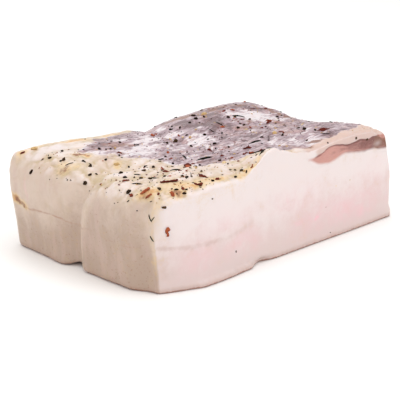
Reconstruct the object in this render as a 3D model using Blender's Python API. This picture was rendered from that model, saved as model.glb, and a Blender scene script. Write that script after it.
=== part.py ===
"""Lardo: a slab of cured pork back fat, with the layer of lean that runs through its top.

The slab is one fat piece and one lean piece, with the larger grains of their pepper, chilli and
herb rub fused on. Metres, +Z up. It rests on Z = 0, is longest along X, and its clean cut face
looks along -Y. Every shape is first worked out in a plain box, whose walls then lean and bulge.
"""

import math
import random

import bmesh
import bpy
import numpy as np
from mathutils import Matrix, Vector, noise
from mathutils.bvhtree import BVHTree

# Driving dimensions
LENGTH = 0.2015  # along X, from wall to wall of the plain box
WIDTH = 0.1265  # along Y
PLAN_SHIFT = (0.00212, -0.00022)  # moves the finished slab's plan on to the origin
GAP = 0.0003  # between the lean and the fat round it
WELD = 0.00002  # corners closer than this become one
SEED = 21

# The slab's grid of faces along X, Y and Z, and how much its lines crowd towards the rims
GRID = (42, 26, 10)
CROWDING = 0.5
CORE_MARGIN = 0.016  # from each wall in to the core that the surface is carried out from
CORE_FOOT = 0.006

# Height of the top along each rim, as (place along the rim, height)
FRONT_RIM = (
    (-0.100, 0.0550),
    (-0.070, 0.0575),
    (-0.035, 0.0580),
    (0.000, 0.0605),
    (0.018, 0.0605),
    (0.040, 0.0630),
    (0.065, 0.0635),
    (0.085, 0.0615),
    (0.101, 0.0580),
)
BACK_RIM = (
    (-0.100, 0.0600),
    (-0.060, 0.0592),
    (-0.040, 0.0571),
    (-0.022, 0.0559),
    (-0.013, 0.0545),
    (-0.0075, 0.0492),
    (0.000, 0.0510),
    (0.012, 0.0538),
    (0.035, 0.0554),
    (0.075, 0.0565),
    (0.101, 0.0560),
)
LEFT_RIM = ((-0.063, 0.0550), (-0.020, 0.0565), (0.020, 0.0590), (0.063, 0.0600))
RIGHT_RIM = (
    (-0.063, 0.0580),
    (-0.042, 0.0588),
    (-0.018, 0.0555),
    (0.008, 0.0547),
    (0.025, 0.0577),
    (0.045, 0.0595),
    (0.063, 0.0560),
)
CREST = (-0.013, -0.070, 0.0110)  # the peak of the cut's top edge, and how far it stands up
FRONT_BOW = (
    (-0.101, 0.0095),
    (-0.093, 0.0056),
    (-0.085, 0.0026),
    (-0.077, 0.0004),
    (-0.061, -0.0008),
    (-0.030, 0.0000),
    (0.022, -0.0010),
    (0.060, -0.0020),
    (0.101, -0.0026),
)  # how far the cut face stands back from its plane, along X

# The lean: its front edge in plan, as (place along Y, X), and its thickness at the cut
LEAN_EDGE = (
    (-0.075, 0.017),
    (-0.063, 0.016),
    (-0.056, 0.010),
    (-0.050, -0.006),
    (-0.044, -0.028),
    (-0.036, -0.041),
    (-0.020, -0.047),
    (-0.005, -0.056),
    (0.010, -0.068),
    (0.022, -0.077),
    (0.032, -0.084),
    (0.042, -0.079),
    (0.054, -0.066),
    (0.075, -0.060),
)
LEAN_AT_CUT = (
    (0.016, 0.0060),
    (0.029, 0.0090),
    (0.037, 0.0104),
    (0.051, 0.0066),
    (0.066, 0.0080),
    (0.080, 0.0090),
    (0.115, 0.0086),
)
LEAN_DEPTH = 0.0070
LEAN_TAPER = (0.017, 0.008)  # over which it thins out towards its edge, on the top and at the cut
LEAN_EDGE_DEPTH = 0.0014
COVER = 0.0045  # thickness of the fat that lies over it at the back rim, and then along the cut
COVER_AT_CUT = (
    (0.012, 0.0045),
    (0.027, 0.0048),
    (0.037, 0.0038),
    (0.054, 0.0060),
    (0.071, 0.0061),
    (0.084, 0.0048),
)
LEAN_GRID = (21, 21, 1)
OVERCUT = 0.005  # how far the lean's blank stands out of the slab

# Rub: (kind, length, breadth and height as shares of it, how many)
RUB = (
    ("chilli", (0.0028, 0.0050), (0.55, 0.30), 16),
    ("herb", (0.0050, 0.0085), (0.15, 0.14), 10),
    ("pepper", (0.0016, 0.0026), (0.80, 0.65), 60),
    ("crumb", (0.0018, 0.0030), (0.75, 0.45), 12),
)
# The grains that stand out most: (kind, X, Y, length, turn in degrees)
LANDMARKS = (
    ("pepper", -0.0148, 0.0141, 0.0038, 10),
    ("pepper", 0.0262, 0.0366, 0.0034, 70),
    ("pepper", 0.0308, 0.0435, 0.0034, 20),
    ("pepper", -0.0975, -0.0340, 0.0036, 0),
    ("pepper", -0.0826, -0.0114, 0.0030, -45),
    ("pepper", -0.0849, -0.0173, 0.0028, -30),
    ("pepper", -0.0930, 0.0030, 0.0026, 0),
    ("pepper", -0.0862, 0.0107, 0.0026, 20),
    ("pepper", -0.0986, 0.0009, 0.0026, 0),
    ("pepper", -0.0933, 0.0254, 0.0026, 10),
    ("pepper", -0.0680, -0.0488, 0.0026, 30),
    ("pepper", -0.0341, -0.0585, 0.0026, -40),
    ("chilli", -0.0470, -0.0300, 0.0072, -50),
    ("chilli", -0.0781, -0.0456, 0.0105, -45),
    ("chilli", -0.0758, -0.0540, 0.0058, -20),
    ("chilli", -0.0838, -0.0515, 0.0064, -50),
    ("chilli", -0.0695, -0.0582, 0.0058, -40),
    ("chilli", -0.0600, -0.0530, 0.0062, -55),
    ("chilli", -0.0937, -0.0436, 0.0066, -35),
    ("chilli", -0.0900, -0.0236, 0.0048, -20),
    ("chilli", -0.0221, -0.0485, 0.0062, -40),
    ("chilli", 0.0030, -0.0293, 0.0060, -30),
    ("chilli", 0.0517, -0.0480, 0.0084, -35),
    ("chilli", 0.0600, 0.0038, 0.0060, -45),
    ("herb", -0.0300, -0.0250, 0.0120, -55),
    ("herb", 0.0060, -0.0270, 0.0110, -60),
    ("herb", 0.0125, -0.0262, 0.0090, -20),
    ("herb", 0.0150, -0.0330, 0.0095, -75),
    ("herb", 0.0465, -0.0540, 0.0105, -45),
    ("crumb", 0.0361, 0.0390, 0.0052, 0),
    ("crumb", -0.0910, 0.0550, 0.0052, 20),
)
RUB_CLEARANCE = 0.0017  # between one grain and the next, and from where lean and fat meet

# Colours, as linear RGB, and roughness
FINISHES = {
    "fat": ((0.78, 0.66, 0.56), 0.42),
    "lean": ((0.42, 0.25, 0.26), 0.45),
    "pepper": ((0.030, 0.024, 0.018), 0.60),
    "chilli": ((0.27, 0.040, 0.018), 0.50),
    "herb": ((0.045, 0.055, 0.028), 0.60),
    "crumb": ((0.48, 0.33, 0.13), 0.60),
}


def curve(points, place):
    """The value at each place of a smooth line through (place, value) points."""
    places, values = np.array(points).T
    slopes = np.gradient(values, places)
    i = np.clip(np.searchsorted(places, place) - 1, 0, len(places) - 2)
    span = places[i + 1] - places[i]
    t = np.clip((place - places[i]) / span, 0, 1)
    start = (1 + 2 * t) * (1 - t) ** 2 * values[i] + t * (1 - t) ** 2 * span * slopes[i]
    end = t * t * (3 - 2 * t) * values[i + 1] + t * t * (t - 1) * span * slopes[i + 1]
    return start + end


def fade(low, high, value):
    """0 at low, 1 at high and smooth between them; high may be the lower of the two."""
    t = np.clip((value - low) / (high - low), 0, 1)
    return t * t * (3 - 2 * t)


def swell(x, y, at, spread):
    """A smooth mound of height 1 at one place, with its spread along X and Y."""
    return np.exp(-(((x - at[0]) / spread[0]) ** 2) - ((y - at[1]) / spread[1]) ** 2)


def trough(x, y, start, end, width):
    """A smooth trough of depth 1 along a straight line."""
    run = np.subtract(end, start)
    t = np.clip(((x - start[0]) * run[0] + (y - start[1]) * run[1]) / run.dot(run), 0, 1)
    away = np.hypot(x - start[0] - t * run[0], y - start[1] - t * run[1])
    return np.exp(-((away / width) ** 2))


def top_height(x, y):
    """Height of the cured top: a patch between its four rims, with its mounds and troughs."""
    u = np.clip(x / LENGTH + 0.5, 0, 1)
    v = np.clip(y / WIDTH + 0.5, 0, 1)
    near = (1 - u) * FRONT_RIM[0][1] + u * FRONT_RIM[-1][1]
    far = (1 - u) * BACK_RIM[0][1] + u * BACK_RIM[-1][1]
    height = (1 - v) * curve(FRONT_RIM, x) + v * curve(BACK_RIM, x)
    height += (1 - u) * curve(LEFT_RIM, y) + u * curve(RIGHT_RIM, y)
    height -= (1 - v) * near + v * far
    height += CREST[2] * swell(x, y, CREST[:2], (0.013, 0.018))
    height += 0.0020 * swell(x, y, (0.045, 0.030), (0.035, 0.025))
    height += 0.0015 * swell(x, y, (-0.060, -0.045), (0.030, 0.012))
    height -= 0.0026 * trough(x, y, (-0.108, -0.006), (-0.078, 0.001), 0.0085)
    height -= 0.0022 * trough(x, y, (-0.078, 0.001), (-0.050, -0.020), 0.0075)
    return height


def fillet(a, b, radius):
    """Distance outside two faces that meet in an edge rounded to a radius."""
    inner = np.minimum(np.maximum(a, b), -radius)
    return inner + np.hypot(np.maximum(a + radius, 0), np.maximum(b + radius, 0))


def outside(x, y, z):
    """Distance outside the plain box, with its rims rounded: crisp at the cut, soft at the left end."""
    ends = np.abs(x) - LENGTH / 2
    faces = np.abs(y) - WIDTH / 2
    on_faces = fade(-0.006, 0.006, faces - ends)
    upright = np.select([(y < 0) & (x < 0), y < 0, x < 0], [0.0012, 0.0030, 0.0075], 0.010)
    cut_top = 0.0058 - 0.0045 * fade(-0.040, -0.028, x) + 0.0020 * fade(0.010, 0.035, x)
    cut_top += 0.0060 * fade(0.080, 0.098, x)
    top = on_faces * np.where(y < 0, cut_top, 0.008) + (1 - on_faces) * np.where(x < 0, 0.015, 0.010)
    foot = on_faces * np.where(y < 0, 0.0012, 0.004) + (1 - on_faces) * np.where(x < 0, 0.0028, 0.0015)
    walls = fillet(ends, faces, upright)
    capped = fillet(walls, z - top_height(x, y), top)
    return fillet(capped, -z, foot)


def crease_place(z):
    """Where the crease between the left end's two lobes runs along Y, at each height."""
    return 0.0055 - 0.235 * z


def bulge(x, y, z):
    """The place of each point of the plain box once its walls lean, bulge and crease."""
    on_left = fade(LENGTH / 2 - 0.045, LENGTH / 2, -x)
    on_right = fade(LENGTH / 2 - 0.045, LENGTH / 2, x)
    on_front = fade(WIDTH / 2 - 0.045, WIDTH / 2, -y)
    on_back = fade(WIDTH / 2 - 0.045, WIDTH / 2, y)
    # The left end swells out as it rises, and turns in towards the cut
    left = -0.0015 - 0.0038 * fade(0.0, 0.042, z)
    left += 0.0020 * fade(0.025, 0.063, y) * fade(0.040, 0.0, z)
    left += 0.0065 * fade(-0.042, -0.063, y)
    left -= 0.0024 * fade(0.012, 0.0, z) * swell(x, y, (x, 0.019), (1.0, 0.008))
    past = y - crease_place(z)
    left += 0.0040 * np.exp(-((past / np.where(past > 0, 0.011, 0.0035)) ** 2))
    front = curve(FRONT_BOW, x)
    # The rind stands proud along part of the cut's foot, and is torn off beside it
    foot = fade(0.0050, 0.0015, z)
    front -= 0.0018 * foot * fade(-0.082, -0.070, x) * fade(-0.026, -0.032, x)
    front += 0.0028 * foot * swell(x, y, (-0.020, -0.063), (0.006, 0.020))
    right = -0.0010 - 0.0055 * fade(0.027, 0.052, z)
    right += 0.0022 * fade(0.010, 0.003, z) * fade(-0.030, -0.055, y)
    back = 0.0030 * fade(-0.060, -0.095, x) - 0.0030 * fade(0.030, 0.0, z) * fade(-0.080, -0.060, x)
    lift = 0.0028 * fade(0.008, 0.0, z) * swell(x, y, (-0.100, 0.0085), (0.010, 0.006))
    x = x + on_left * left + on_right * right
    y = y + on_front * front + on_back * back
    return x, y, z + lift


def crowd(plan, amount):
    """Moves grid lines that run evenly from -1 to 1 closer together near both ends."""
    return (1 - amount) * plan + amount * np.sin(plan * np.pi / 2)


def surface(plan):
    """Each point of a box from -1 to 1, carried out from the slab's core to its surface."""
    plan = crowd(plan, CROWDING)
    x = plan[:, 0] * LENGTH / 2
    y = plan[:, 1] * WIDTH / 2
    top = top_height(x, y)
    z = (plan[:, 2] + 1) / 2 * top
    # Near the left end the upright lines follow the crease
    y = y + crease_place(z) * fade(-0.060, -0.095, x) * swell(x, y, (x, 0.0), (1.0, 0.030))
    box = np.stack([x, y, z], axis=1)
    reach = np.array([LENGTH / 2 - CORE_MARGIN, WIDTH / 2 - CORE_MARGIN])
    core = box.copy()
    core[:, :2] = np.clip(box[:, :2], -reach, reach)
    core[:, 2] = np.clip(z, CORE_FOOT, top - CORE_MARGIN)
    outwards = box - core
    near = np.zeros(len(box))
    far = np.full(len(box), 1.5)
    for _ in range(24):
        middle = (near + far) / 2
        inside = outside(*(core + outwards * middle[:, None]).T) < 0
        near = np.where(inside, middle, near)
        far = np.where(inside, far, middle)
    return np.stack(bulge(*(core + outwards * near[:, None]).T), axis=1)


def relief(place, normal):
    """How far the surface stands out from its smooth form: lumpy on top, softer on the walls."""
    on_top = min(max((normal.z - 0.35) * 3, 0), 1)
    on_cut = min(max((-normal.y - 0.80) * 8, 0), 1)
    lumps = noise.fractal(place * 55, 0.9, 2.1, 3)
    swells = noise.noise(place * 28)
    amount = on_top * (0.0009 * lumps + 0.0004 * swells)
    amount += (1 - on_top) * (1 - 0.8 * on_cut) * (0.0004 * lumps + 0.0006 * swells)
    return amount * min(place.z / 0.006, 1)


def lean_cover(x, y):
    """Thickness of the fat over the lean. It is below 0 where the lean lies bare."""
    front = fade(-0.0552, -0.0602, y - 0.009 * fade(0.055, 0.100, x))
    back = fade(0.0490, 0.0530, y) * fade(-0.012, -0.022, x)
    thick = np.where(y < 0, curve(COVER_AT_CUT, x), COVER)
    return (thick + OVERCUT) * np.maximum(front, back) - OVERCUT


def lean_blank(grow):
    """The lean before it is trimmed to the slab's outside, grown by an amount on every side."""
    bm = box_grid(LEAN_GRID)
    plan = np.array([v.co for v in bm.verts])
    y = crowd(plan[:, 1], 0.6) * (WIDTH / 2 + 0.007)
    edge = curve(LEAN_EDGE, y)
    x = edge + ((plan[:, 0] + 1) / 2) ** 1.4 * (LENGTH / 2 + 0.010 - edge)
    cover = lean_cover(x, y)
    thin = LEAN_EDGE_DEPTH + np.maximum(cover, 0)
    at_cut = np.maximum(cover, 0) + curve(LEAN_AT_CUT, x)
    near_cut = fade(-0.040, -0.057, y)
    full = LEAN_DEPTH + (at_cut - LEAN_DEPTH) * near_cut
    taper = LEAN_TAPER[0] + (LEAN_TAPER[1] - LEAN_TAPER[0]) * near_cut
    depth = thin + (full - thin) * fade(0, taper, x - edge)
    depth_here = cover + (depth - cover) * (1 - plan[:, 2]) / 2
    places = np.stack(bulge(x, y, top_height(x, y) - depth_here), axis=1)
    for vert, place in zip(bm.verts, places):
        vert.co = place
    bmesh.ops.triangulate(bm, faces=bm.faces, quad_method="FIXED")
    bm.normal_update()
    for vert in bm.verts:
        vert.co += vert.normal * grow
    return bm


def box_grid(counts):
    """A cube from -1 to 1 whose faces are cut into a grid."""
    bm = bmesh.new()
    bmesh.ops.create_cube(bm, size=2)
    for axis, count in enumerate(counts):
        along = [e for e in bm.edges if abs(e.verts[0].co[axis] - e.verts[1].co[axis]) > 1]
        bmesh.ops.subdivide_edges(bm, edges=along, cuts=count - 1, use_grid_fill=True)
    return bm


def whole_slab():
    """The slab's outside, lean and fat together, flat underneath."""
    bm = box_grid(GRID)
    places = surface(np.array([v.co for v in bm.verts]))
    for vert, place in zip(bm.verts, places):
        vert.co = place
    bm.normal_update()
    amounts = [relief(v.co, v.normal) for v in bm.verts]
    normals = [v.normal.copy() for v in bm.verts]
    for vert, amount, normal in zip(bm.verts, amounts, normals):
        vert.co += normal * amount
        vert.co.z = 0 if vert.co.z < 0.0001 else vert.co.z
    flat = [f for f in bm.faces if all(v.co.z == 0 for v in f.verts)]
    bmesh.ops.dissolve_faces(bm, faces=flat)
    return bm


def density(x, y):
    """How thickly the rub lies: most of it near the cut on the left and along the lean's middle."""
    thick = 0.14 + 0.86 * swell(x, y, (-0.068, -0.034), (0.040, 0.026))
    return thick + 0.22 * swell(x, y, (0.015, 0.005), (0.055, 0.032))


def on_lean(x, y, reach):
    """True where a round patch lies on bare lean, False on thick fat, and None where it would cross."""
    around = np.arange(8) * math.pi / 4
    px = x + reach * np.cos(around)
    py = y + reach * np.sin(around)
    past_edge = px > curve(LEAN_EDGE, py)
    cover = lean_cover(px, py)
    if (past_edge & (cover < 0)).all():
        return True
    return None if (past_edge & (cover < COVER / 2)).any() else False


def rub_grains():
    """Every grain as (kind, X, Y, size, turn, tilt, whether it lies on the lean), landmarks first."""
    rng = random.Random(SEED)
    shapes = {kind: shares for kind, _, shares, _ in RUB}
    grains = []

    def lay(kind, x, y, length, turn):
        reach = length / 2 + RUB_CLEARANCE
        lean = on_lean(x, y, reach)
        crowded = any(math.hypot(x - g[1], y - g[2]) < reach + g[3][0] / 2 for g in grains)
        if lean is None or crowded:
            return False
        size = (length, length * shapes[kind][0], length * shapes[kind][1])
        grains.append((kind, x, y, size, turn, rng.uniform(-0.2, 0.2), lean))
        return True

    for kind, x, y, length, turn in LANDMARKS:
        lay(kind, x, y, length, math.radians(turn))
    for kind, (short, long), _, count in RUB:
        laid = 0
        for _ in range(count * 90):
            x = rng.uniform(-0.095, 0.092)
            y = rng.uniform(-0.056, 0.058)
            length = short + (long - short) * rng.random() ** 2
            turn = rng.uniform(0, math.tau)
            if rng.random() < density(x, y) and lay(kind, x, y, length, turn):
                laid += 1
            if laid == count:
                break
    return grains


def add_grain(grain, number, ground, joint, materials, collection):
    """One grain, bedded in the surface below it, unless it would come near where lean and fat meet."""
    kind, x, y, size, turn, tilt, _ = grain
    at, up = ground.ray_cast(Vector((x, y, 1)), Vector((0, 0, -1)))[:2]
    bm = bmesh.new()
    if kind == "herb":
        bmesh.ops.create_cone(bm, cap_ends=True, segments=5, radius1=0.5, radius2=0.34, depth=1)
        bmesh.ops.rotate(bm, verts=bm.verts, matrix=Matrix.Rotation(math.pi / 2, 3, "Y"))
    else:
        bmesh.ops.create_icosphere(bm, subdivisions=1, radius=0.5)
        rng = random.Random(number)
        for vert in bm.verts:
            vert.co *= rng.uniform(0.82, 1.1)
    lie = up.to_track_quat("Z", "Y").to_matrix().to_4x4()
    spin = Matrix.Rotation(turn, 4, "Z") @ Matrix.Rotation(tilt, 4, "Y")
    bm.transform(Matrix.Translation(at + up * size[2] * 0.10) @ lie @ spin @ Matrix.Diagonal((*size, 1)))
    if min(joint.find_nearest(vert.co)[3] for vert in bm.verts) < 2 * GAP:
        bm.free()
        return
    obj = add_object(f"{kind}_{number:03d}", bm, collection)
    obj.data.materials.append(materials[kind])


def add_object(name, bm, collection):
    mesh = bpy.data.meshes.new(name)
    bm.to_mesh(mesh)
    bm.free()
    obj = bpy.data.objects.new(name, mesh)
    collection.objects.link(obj)
    return obj


def make_materials():
    materials = {}
    for name, (colour, roughness) in FINISHES.items():
        material = bpy.data.materials.new(name)
        material.use_nodes = True
        shader = material.node_tree.nodes["Principled BSDF"]
        shader.inputs["Base Color"].default_value = (*colour, 1)
        shader.inputs["Roughness"].default_value = roughness
        material.diffuse_color = (*colour, 1)
        materials[name] = material
    return materials


def add_collection(name):
    collection = bpy.data.collections.new(name)
    bpy.context.scene.collection.children.link(collection)
    return collection


def combine(obj, operation, helpers):
    """Applies one Boolean between an object and a collection, then removes the collection's objects.

    Corners that it leaves almost on top of each other become one.
    """
    modifier = obj.modifiers.new(operation.title(), "BOOLEAN")
    modifier.operation = operation
    modifier.solver = "EXACT"
    modifier.material_mode = "TRANSFER"
    modifier.operand_type = "COLLECTION"
    modifier.collection = helpers
    graph = bpy.context.evaluated_depsgraph_get()
    result = bpy.data.meshes.new_from_object(obj.evaluated_get(graph))
    obj.modifiers.clear()
    obj.data = result
    for helper in list(helpers.objects):
        bpy.data.objects.remove(helper)
    bpy.data.collections.remove(helpers)
    bm = bmesh.new()
    bm.from_mesh(result)
    bmesh.ops.remove_doubles(bm, verts=bm.verts, dist=WELD)
    bmesh.ops.dissolve_degenerate(bm, dist=WELD, edges=bm.edges)
    bmesh.ops.triangulate(bm, faces=[f for f in bm.faces if len(f.verts) > 3])
    bm.to_mesh(result)
    bm.free()


def add_food(name, finish, operation, blank, grains, materials, collection):
    """One piece of the slab: its share of the outside, with the grains that lie on it."""
    joint = BVHTree.FromBMesh(blank)
    obj = add_object(name, whole_slab(), collection)
    obj.data.materials.append(materials[finish])
    trimmer = add_collection(name + "_trimmer")
    add_object(name + "_blank", blank, trimmer).data.materials.append(materials[finish])
    combine(obj, operation, trimmer)
    ground = BVHTree.FromPolygons([v.co for v in obj.data.vertices], [p.vertices for p in obj.data.polygons])
    rub = add_collection(name + "_rub")
    for number, grain in grains:
        add_grain(grain, number, ground, joint, materials, rub)
    combine(obj, "UNION", rub)
    obj.data.transform(Matrix.Translation((*PLAN_SHIFT, 0)))


def main():
    for obj in list(bpy.data.objects):
        bpy.data.objects.remove(obj)
    lardo = add_collection("lardo")
    materials = make_materials()
    grains = list(enumerate(rub_grains()))
    on_fat = [g for g in grains if not g[1][-1]]
    on_meat = [g for g in grains if g[1][-1]]
    add_food("fat_slab", "fat", "DIFFERENCE", lean_blank(GAP * 1.3), on_fat, materials, lardo)
    add_food("lean_layer", "lean", "INTERSECT", lean_blank(0), on_meat, materials, lardo)


main()
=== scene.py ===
"""Lardo: a slab of cured pork back fat with a layer of lean, under a dry rub of pepper and herbs.

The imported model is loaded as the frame, and each operator makes one piece of the slab round it, or
the stage. Metres, +Z up. The form is worked out in the slab's own plan, which PLAN_SHIFT then
moves on to the frame's origin.
"""

import functools
import math
import random

import bmesh
import bpy
import numpy as np
from mathutils import Matrix, Vector, noise
from mathutils.bvhtree import BVHTree
from mathutils.kdtree import KDTree


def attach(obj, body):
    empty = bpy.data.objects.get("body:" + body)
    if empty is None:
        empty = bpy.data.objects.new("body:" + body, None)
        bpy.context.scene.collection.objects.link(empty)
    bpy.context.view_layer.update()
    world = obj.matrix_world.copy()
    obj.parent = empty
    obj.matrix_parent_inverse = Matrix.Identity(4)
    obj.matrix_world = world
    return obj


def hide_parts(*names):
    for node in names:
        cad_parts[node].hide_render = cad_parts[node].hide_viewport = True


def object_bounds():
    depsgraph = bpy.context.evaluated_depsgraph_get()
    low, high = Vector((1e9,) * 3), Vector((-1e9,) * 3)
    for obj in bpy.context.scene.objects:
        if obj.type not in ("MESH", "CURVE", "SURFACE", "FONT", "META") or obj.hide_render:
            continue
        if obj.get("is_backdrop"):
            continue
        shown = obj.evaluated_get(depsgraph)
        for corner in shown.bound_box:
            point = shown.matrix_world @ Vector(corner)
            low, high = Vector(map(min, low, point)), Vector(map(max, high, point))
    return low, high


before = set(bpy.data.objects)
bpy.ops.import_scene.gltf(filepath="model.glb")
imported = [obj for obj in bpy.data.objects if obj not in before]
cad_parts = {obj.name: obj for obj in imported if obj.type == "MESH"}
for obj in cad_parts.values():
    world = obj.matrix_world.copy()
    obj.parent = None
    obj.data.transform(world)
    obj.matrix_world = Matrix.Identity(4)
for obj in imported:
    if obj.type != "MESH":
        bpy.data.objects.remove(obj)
CAD_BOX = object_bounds()

bl_info = {
    "name": "Lardo Slab",
    "version": (1, 0, 0),
    "blender": (4, 5, 0),
    "location": "3D View > Sidebar > Lardo",
    "description": "Builds a rubbed slab of cured pork back fat, cut clean along one side",
    "category": "Add Mesh",
}


def mm(*rows, lengths=9):
    """Rows of numbers in metres, from rows whose first few numbers are lengths in millimetres."""
    return tuple((*(value / 1000 for value in row[:lengths]), *row[lengths:]) for row in rows)


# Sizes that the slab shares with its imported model
LENGTH = 0.2015
WIDTH = 0.1265
PLAN_SHIFT = (0.00212, -0.00022)
SEED = 21
CROWDING = 0.5  # how much the slab's grid lines crowd towards its rims
CORE_MARGIN = 0.016  # from each wall in to the core that the surface is carried out from
CORE_FOOT = 0.006

# Height of the top along each rim, as (place along the rim, height)
FRONT_RIM = mm(
    (-100, 55), (-70, 57.5), (-35, 58), (0, 60.5), (18, 60.5), (40, 63), (65, 63.5), (85, 61.5),
    (101, 58),
)
BACK_RIM = mm(
    (-100, 60), (-60, 59.2), (-40, 57.1), (-22, 55.9), (-13, 54.5), (-7.5, 49.2), (0, 51), (12, 53.8),
    (35, 55.4), (75, 56.5), (101, 56),
)
LEFT_RIM = mm((-63, 55), (-20, 56.5), (20, 59), (63, 60))
RIGHT_RIM = mm((-63, 58), (-42, 58.8), (-18, 55.5), (8, 54.7), (25, 57.7), (45, 59.5), (63, 56))
CREST = (-0.013, -0.070, 0.0110)  # the peak of the cut's top edge, and how far it stands up
# How far the cut face stands back from its plane, along X
FRONT_BOW = mm(
    (-101, 9.5), (-93, 5.6), (-85, 2.6), (-77, 0.4), (-61, -0.8), (-30, 0), (22, -1), (60, -2),
    (101, -2.6),
)

# Where the top has settled, or stands up where the drop is below 0: (X, Y, spreads, drop)
SETTLED = mm(
    (-9, -64, 9, 16, 1.8), (10, -64, 7, 12, -1.3), (84, 34, 34, 26, 1.3), (80, -25, 20, 16, 0.8),
)
SETTLED_HEIGHTS = (0.030, 0.056)  # over which the walls come to share in it
FLAT_UNDER = 0.0001  # height below which the underside is made flat

# The lean: its front edge in plan, as (place along Y, X), and its thickness at the cut
LEAN_EDGE = mm(
    (-75, 17), (-63, 16), (-56, 10), (-50, -6), (-44, -28), (-36, -41), (-20, -47), (-5, -56),
    (10, -68), (22, -77), (32, -84), (42, -79), (54, -66), (75, -60),
)
LEAN_AT_CUT = mm((16, 6), (29, 9), (37, 10.4), (51, 6.6), (66, 8), (80, 9), (115, 8.6))
LEAN_DEPTH = 0.0070
LEAN_TAPER = (0.017, 0.008)  # over which it thins out towards its edge, on the top and at the cut
LEAN_EDGE_DEPTH = 0.0014
COVER = 0.0045  # thickness of the fat that lies over it at the back rim, and then along the cut
COVER_AT_CUT = mm((12, 4.5), (27, 4.8), (37, 3.8), (54, 6), (71, 6.1), (84, 4.8))
OVERCUT = 0.005  # how far the lean's blank stands out of the slab
BLANK_LAYERS = 4  # grid faces through the blank's thickness
CRISP_ANGLE = 48  # degrees between two faces that meet in a crisp rim

# Rub: (kind, length, breadth and height as shares of it, how many)
RUB = (
    ("chilli", (0.0028, 0.0050), (0.55, 0.30), 16),
    ("herb", (0.0050, 0.0085), (0.15, 0.14), 10),
    ("pepper", (0.0016, 0.0026), (0.80, 0.65), 60),
    ("crumb", (0.0018, 0.0030), (0.75, 0.45), 12),
)
# The grains that stand out most: (X, Y, length, turn in degrees)
LANDMARKS = {
    "pepper": mm(
        (-14.8, 14.1, 3.8, 10), (26.2, 36.6, 3.4, 70), (30.8, 43.5, 3.4, 20), (-97.5, -34, 3.6, 0),
        (-82.6, -11.4, 3, -45), (-84.9, -17.3, 2.8, -30), (-93, 3, 2.6, 0), (-86.2, 10.7, 2.6, 20),
        (-98.6, 0.9, 2.6, 0), (-93.3, 25.4, 2.6, 10), (-68, -48.8, 2.6, 30), (-34.1, -58.5, 2.6, -40),
        lengths=3,
    ),
    "chilli": mm(
        (-47, -30, 7.2, -50), (-78.1, -45.6, 10.5, -45), (-75.8, -54, 5.8, -20),
        (-83.8, -51.5, 6.4, -50), (-69.5, -58.2, 5.8, -40), (-60, -53, 6.2, -55),
        (-93.7, -43.6, 6.6, -35), (-90, -23.6, 4.8, -20), (-22.1, -48.5, 6.2, -40),
        (3, -29.3, 6, -30), (51.7, -48, 8.4, -35), (60, 3.8, 6, -45),
        lengths=3,
    ),
    "herb": mm(
        (-30, -25, 12, -25), (6, -27, 11, -60), (12.5, -26.2, 9, -20), (15, -33, 9.5, -75),
        (46.5, -54, 10.5, -45),
        lengths=3,
    ),
    "crumb": mm((36.1, 39, 5.2, 0), (-91, 55, 5.2, 20), lengths=3),
}
RUB_CLEARANCE = 0.0017  # between one grain and the next, and from where lean and fat meet
RUB_FIELD = (-0.095, 0.092, -0.056, 0.058)  # where seeded grains are tried, along X and along Y
TRIES = 90  # at laying each seeded grain
NEEDLE_BREADTH = (1.1, 0.8)  # of the needles on the walls and on the top, against the rub's own
FLAKE_REACH = (0.0046, 0.0072)  # lengths past which a flake grows no broader, and then thinner
LARGE_GRAIN = 0.0067  # length past which a grain on the top keeps to its kind's first tone
LARGE_SHADE = -0.25  # the shade of such a grain, where the rest have 0 to 1
BREADTHS = (0.65, 1.1)  # least and most of a grain's breadth, as a share of its kind's
HEIGHTS = (0.7, 1.1)
LEVEL_LENGTH = 0.003  # length past which a grain lies flatter
LIFT = 0.10  # how far a grain's middle stands above what it lies on, as a share of its height
UPWARD = 0.3  # least upward share of a surface's direction that counts as the top
# Grains on the walls: (place, length, kind, which way it points)
WALL_GRAINS = mm(
    (-91.9, -57.6, 36.6, 4.6, "chilli", (0.3, 0, 1)),
    (-99.5, -52.2, 44.6, 4.4, "herb", (0, -2.3, -3)),
    (-98.8, -53.9, 44.3, 3.4, "herb", (1.4, -1.2, 2.3)),
    (-98.9, -53.2, 33, 3.8, "herb", (1.2, -1.8, -2.6)), (-93.3, -57, 50.4, 2.8, "pepper", (1, -1, 0)),
    (-101.7, -44.7, 47.6, 1, "pepper", (0, 1, 0)), (-63.7, -64, 49.7, 1.2, "pepper", (1, 0, 0)),
    (-44, -63.8, 13.9, 1.4, "pepper", (0, 0, 1)), (-104.6, 41.5, 51.5, 3.4, "pepper", (0, 0.2, -1)),
    (61.3, -65.3, 59.7, 2, "pepper", (1, 0, 0.4)), (72.4, -65.5, 56.6, 1.6, "pepper", (1, 0, 0)),
    (44, -65, 33, 1, "crumb", (1, 0, 0)), (57.1, -65, 33.9, 0.9, "crumb", (1, 0, 1)),
    (39.9, -65, 4, 0.9, "pepper", (1, 0, 0)), (35, -65, 21.6, 0.8, "chilli", (1, 0, 0)),
    (-97.8, 57.2, 58.4, 3.4, "chilli", (1, -1, 0)),
    lengths=4,
)
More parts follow.
